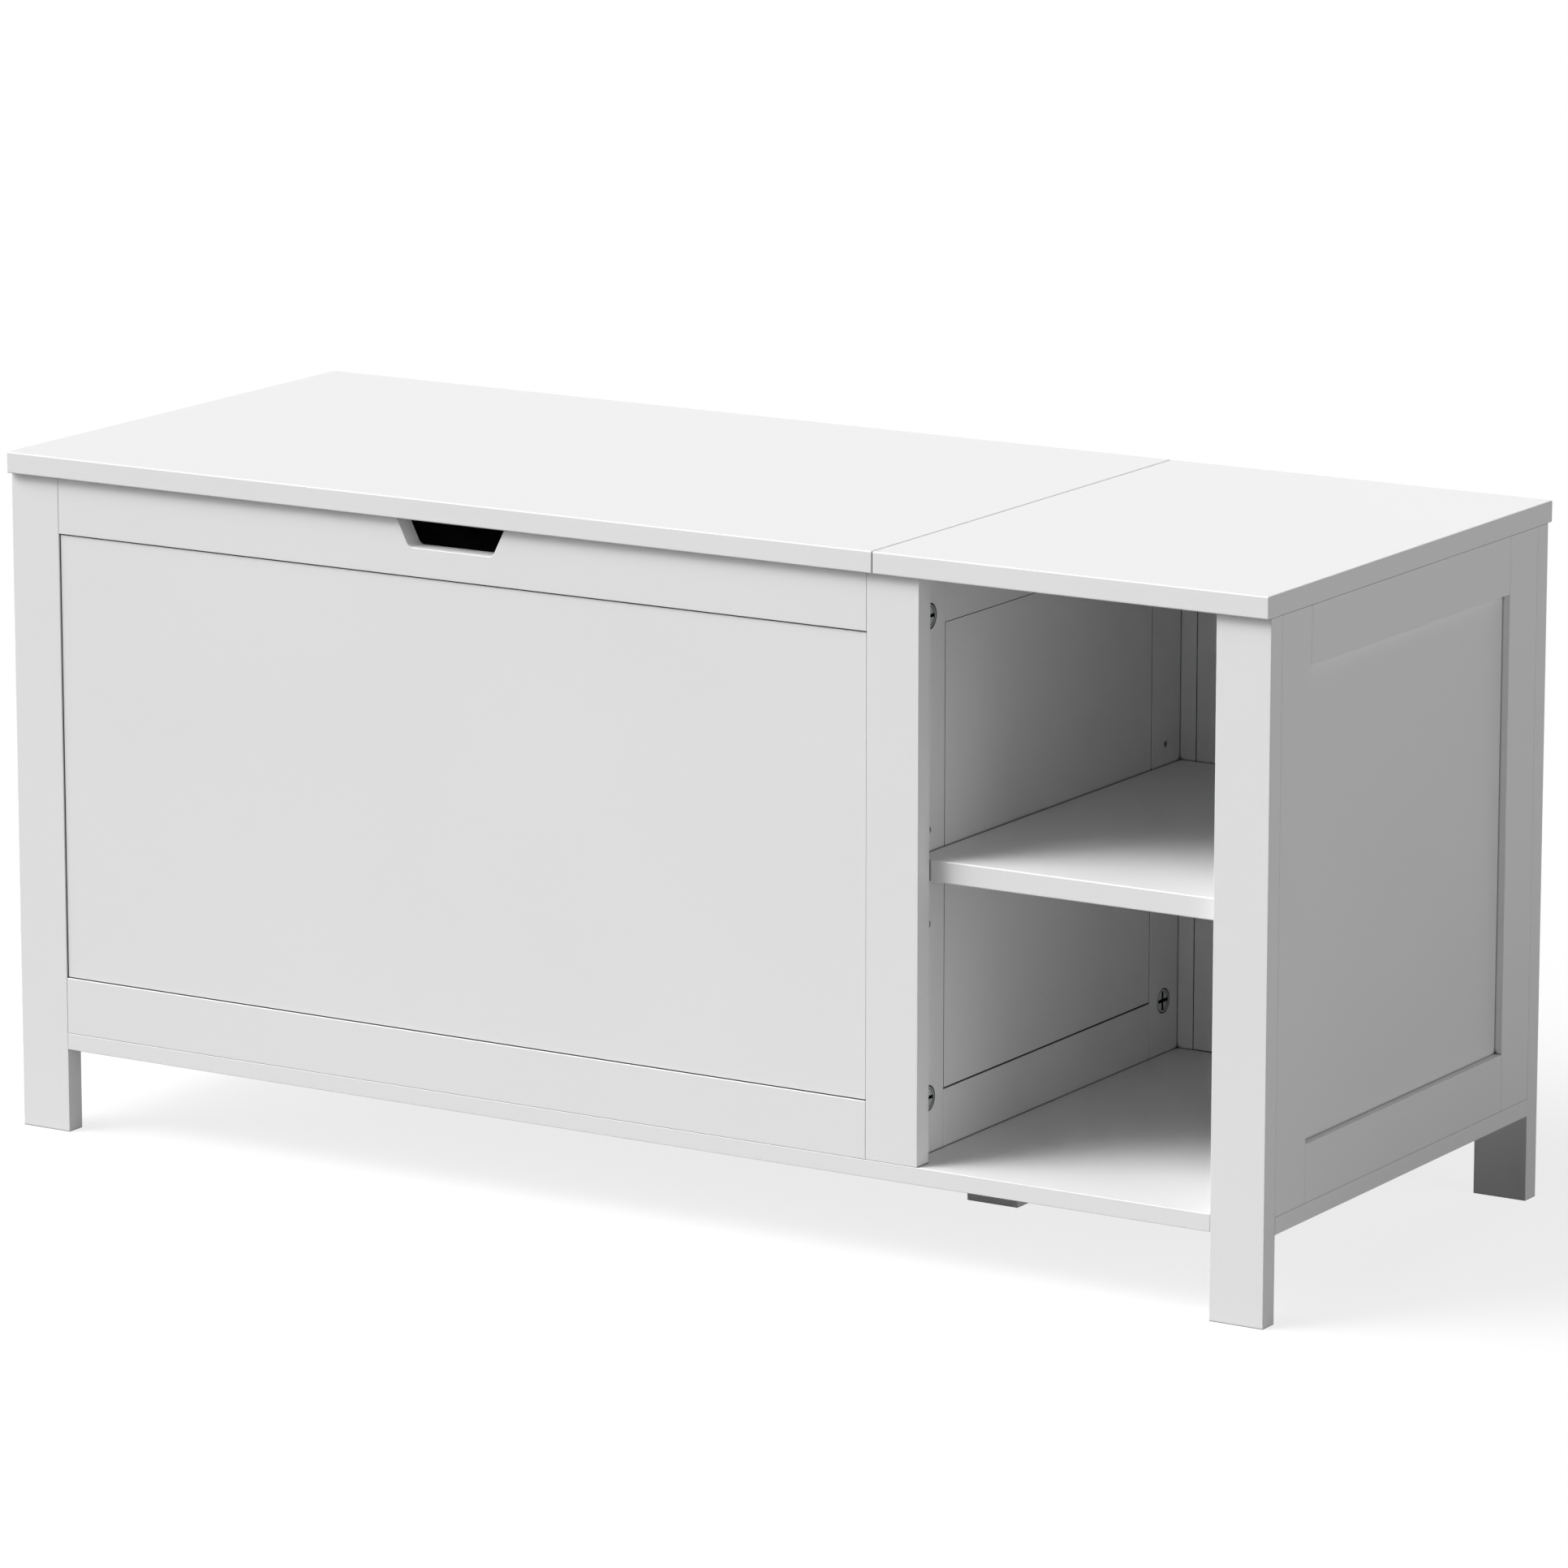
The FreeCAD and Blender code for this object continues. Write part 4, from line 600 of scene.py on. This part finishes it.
def fit_cams(zinc, steel):
    """Cam locks in the walls' stiles, and the bolts that they pull."""
    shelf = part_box("shelf")
    bolts = solids("cam_bolts")
    boxes = solids("cam_locks")
    low, high = boxes[0]
    sizes = {"Diameter": (high.y - low.y) / MM - 2 * CAM_GAP, "Height": (high.x - low.x) / MM,
             "Chamfer": CAM_CHAMFER, "Rim": CAM_RIM, "Dish": CAM_DISH, "Slot Length": CAM_SLOT[0],
             "Slot Width": CAM_SLOT[1], "Slot Depth": CAM_SLOT[2], "Centre Width": CAM_CENTRE[0],
             "Centre Depth": CAM_CENTRE[1], "Bolt Bore": CAM_BOLT_BORE}
    places = []
    for low, high in boxes:
        place = middle((low, high))
        into_board = 1 if place.x > shelf[1].x else -1
        place.x = low.x if into_board > 0 else high.x
        places.append((place, into_board * X))
    sizes["Bolt Depth"] = min(abs(middle(bolt).x - place.x) for bolt in bolts) / MM
    fit_pieces("cam_lock_set", "cam_locks", zinc, cam_tree(), sizes, places)

    low, high = bolts[0]
    sizes = {"Length": (high.y - low.y) / MM, "Thread": (high.x - low.x) / MM, "Thread Length": BOLT_BITE,
             "Pitch": BOLT_PITCH, "Shaft": BOLT_SHAFT, "Neck": BOLT_NECK[0], "Neck Length": BOLT_NECK[1],
             "Head": BOLT_HEAD}
    places = []
    for low, high in bolts:
        place = middle((low, high))
        inward = -1 if place.y > 0 else 1
        place.y = low.y if inward > 0 else high.y
        places.append((place, inward * Y))
    fit_pieces("cam_bolt_set", "cam_bolts", steel, bolt_tree(), sizes, places)


def fit_pegs(steel, beech):
    """Shelf pins, and the fluted dowels in the rails and under the fixed top."""
    pins = peg_tree("shelf_pins", 0)
    dowels = peg_tree("fluted_dowels", DOWEL_FLUTES)
    kinds = (("shelf_pins", "shelf_pin_set", "steel", steel, pins, 0.0, PIN_CHAMFER),
             ("rail_dowels", "rail_dowel_set", "beech", beech, dowels, DOWEL_FLUTE_DEPTH, DOWEL_CHAMFER),
             ("top_dowels", "top_dowel_set", "beech", beech, dowels, DOWEL_FLUTE_DEPTH, DOWEL_CHAMFER))
    for node, name, slot, material, tree, flute, chamfer in kinds:
        places = []
        for low, high in solids(node):
            extent = high - low
            axis = max((X, Y, Z), key=lambda way: extent.dot(way))
            places.append((middle((low, high)) - axis * extent.dot(axis) / 2, axis))
        sizes = {"Length": max(extent) / MM, "Diameter": min(extent) / MM, "Flute Depth": flute,
                 "Chamfer": chamfer}
        fit_pieces(name, node, material, tree, sizes, places)


def dress_cad(finishes):
    """Gives each CAD node the finish of its record slot."""
    for node in frame["nodes"].values():
        for slot in node.material_slots:
            slot.material = finishes[slot.material.name.split(".")[0]]


def seen_by_eye(tree):
    """1 for a ray from the camera, a mirror or glass, and 0 for a ray that carries light to other surfaces."""
    path = add(tree, "ShaderNodeLightPath").outputs
    seen = path["Is Camera Ray"]
    for other in ("Is Glossy Ray", "Is Transmission Ray"):
        seen = add(tree, "ShaderNodeMath", {0: seen, 1: path[other]}, operation="MAXIMUM").outputs[0]
    return seen


def studio_floor():
    """A pale floor: near white to the eye with the bench's soft shadow, and dim in the light it throws back."""
    material = bpy.data.materials.new("pale_matt_floor")
    material.use_nodes = True
    tree = material.node_tree
    tree.nodes.clear()
    seen = seen_by_eye(tree)
    bounce = add(tree, "ShaderNodeBsdfDiffuse", {"Color": linear(FLOOR_BOUNCE)}).outputs[0]
    lit = add(tree, "ShaderNodeBsdfDiffuse", {"Color": linear(FLOOR_GREY)}).outputs[0]
    glow = add(tree, "ShaderNodeEmission", {"Strength": FLOOR_GLOW}).outputs[0]
    pale = add(tree, "ShaderNodeAddShader", {0: lit, 1: glow}).outputs[0]
    floor_look = add(tree, "ShaderNodeMixShader", {"Fac": seen, 1: bounce, 2: pale})
    add(tree, "ShaderNodeOutputMaterial", {"Surface": floor_look.outputs[0]})
    disc = bmesh.new()
    bmesh.ops.create_circle(disc, cap_ends=True, segments=FLOOR_SIDES, radius=FLOOR_RADIUS)
    mesh = bpy.data.meshes.new("studio_floor")
    disc.to_mesh(mesh)
    disc.free()
    mesh.materials.append(material)
    floor = bpy.data.objects.new("studio_floor", mesh)
    floor.location.z = cad_box[0].z
    bpy.context.scene.collection.objects.link(floor)


def direction(azimuth, elevation):
    """Direction from the bench, in degrees right of the front and above the floor."""
    turn, rise = math.radians(azimuth), math.radians(elevation)
    return Vector((math.sin(turn) * math.cos(rise), -math.cos(turn) * math.cos(rise), math.sin(rise)))


def studio_light():
    """Large soft lamps round the bench, and a world that is white to the eye and gives no light of its own."""
    for name, (azimuth, elevation, width, strength) in LAMPS.items():
        lamp = bpy.data.lights.new(name, "SUN")
        lamp.angle = math.radians(width)
        lamp.energy = strength
        holder = bpy.data.objects.new(name, lamp)
        holder.rotation_euler = direction(azimuth, elevation).to_track_quat("Z", "Y").to_euler()
        bpy.context.scene.collection.objects.link(holder)
    world = bpy.data.worlds.new("studio_world")
    world.use_nodes = True
    tree = world.node_tree
    tree.nodes.clear()
    sky = add(tree, "ShaderNodeBackground", {"Strength": seen_by_eye(tree), "Color": (1.0, 1.0, 1.0, 1.0)})
    add(tree, "ShaderNodeOutputWorld", {"Surface": sky.outputs[0]})
    bpy.context.scene.world = world


def place_camera():
    """A long lens at the photograph's angle, right of the front and a little above the lid."""
    lens = bpy.data.cameras.new("camera")
    lens.lens = CAMERA_LENS
    lens.sensor_width = CAMERA_SENSOR
    camera = bpy.data.objects.new("camera", lens)
    back = direction(CAMERA_AZIMUTH, CAMERA_PITCH)
    camera.location = (CAMERA_AIM + back * CAMERA_DISTANCE) * MM
    camera.rotation_euler = (-back).to_track_quat("-Z", "Y").to_euler()
    bpy.context.scene.collection.objects.link(camera)
    bpy.context.scene.camera = camera


paint, steel, zinc, beech = satin_white_lacquer(), bright_zinc_plate(), die_cast_zinc(), planed_beech()
dress_cad({"white_paint": paint, "steel": steel, "zinc": zinc, "beech": beech})
fit_screws(steel)
fit_cams(zinc, steel)
fit_pegs(steel, beech)
studio_floor()
studio_light()
place_camera()
bpy.context.scene.view_settings.view_transform = "Standard"
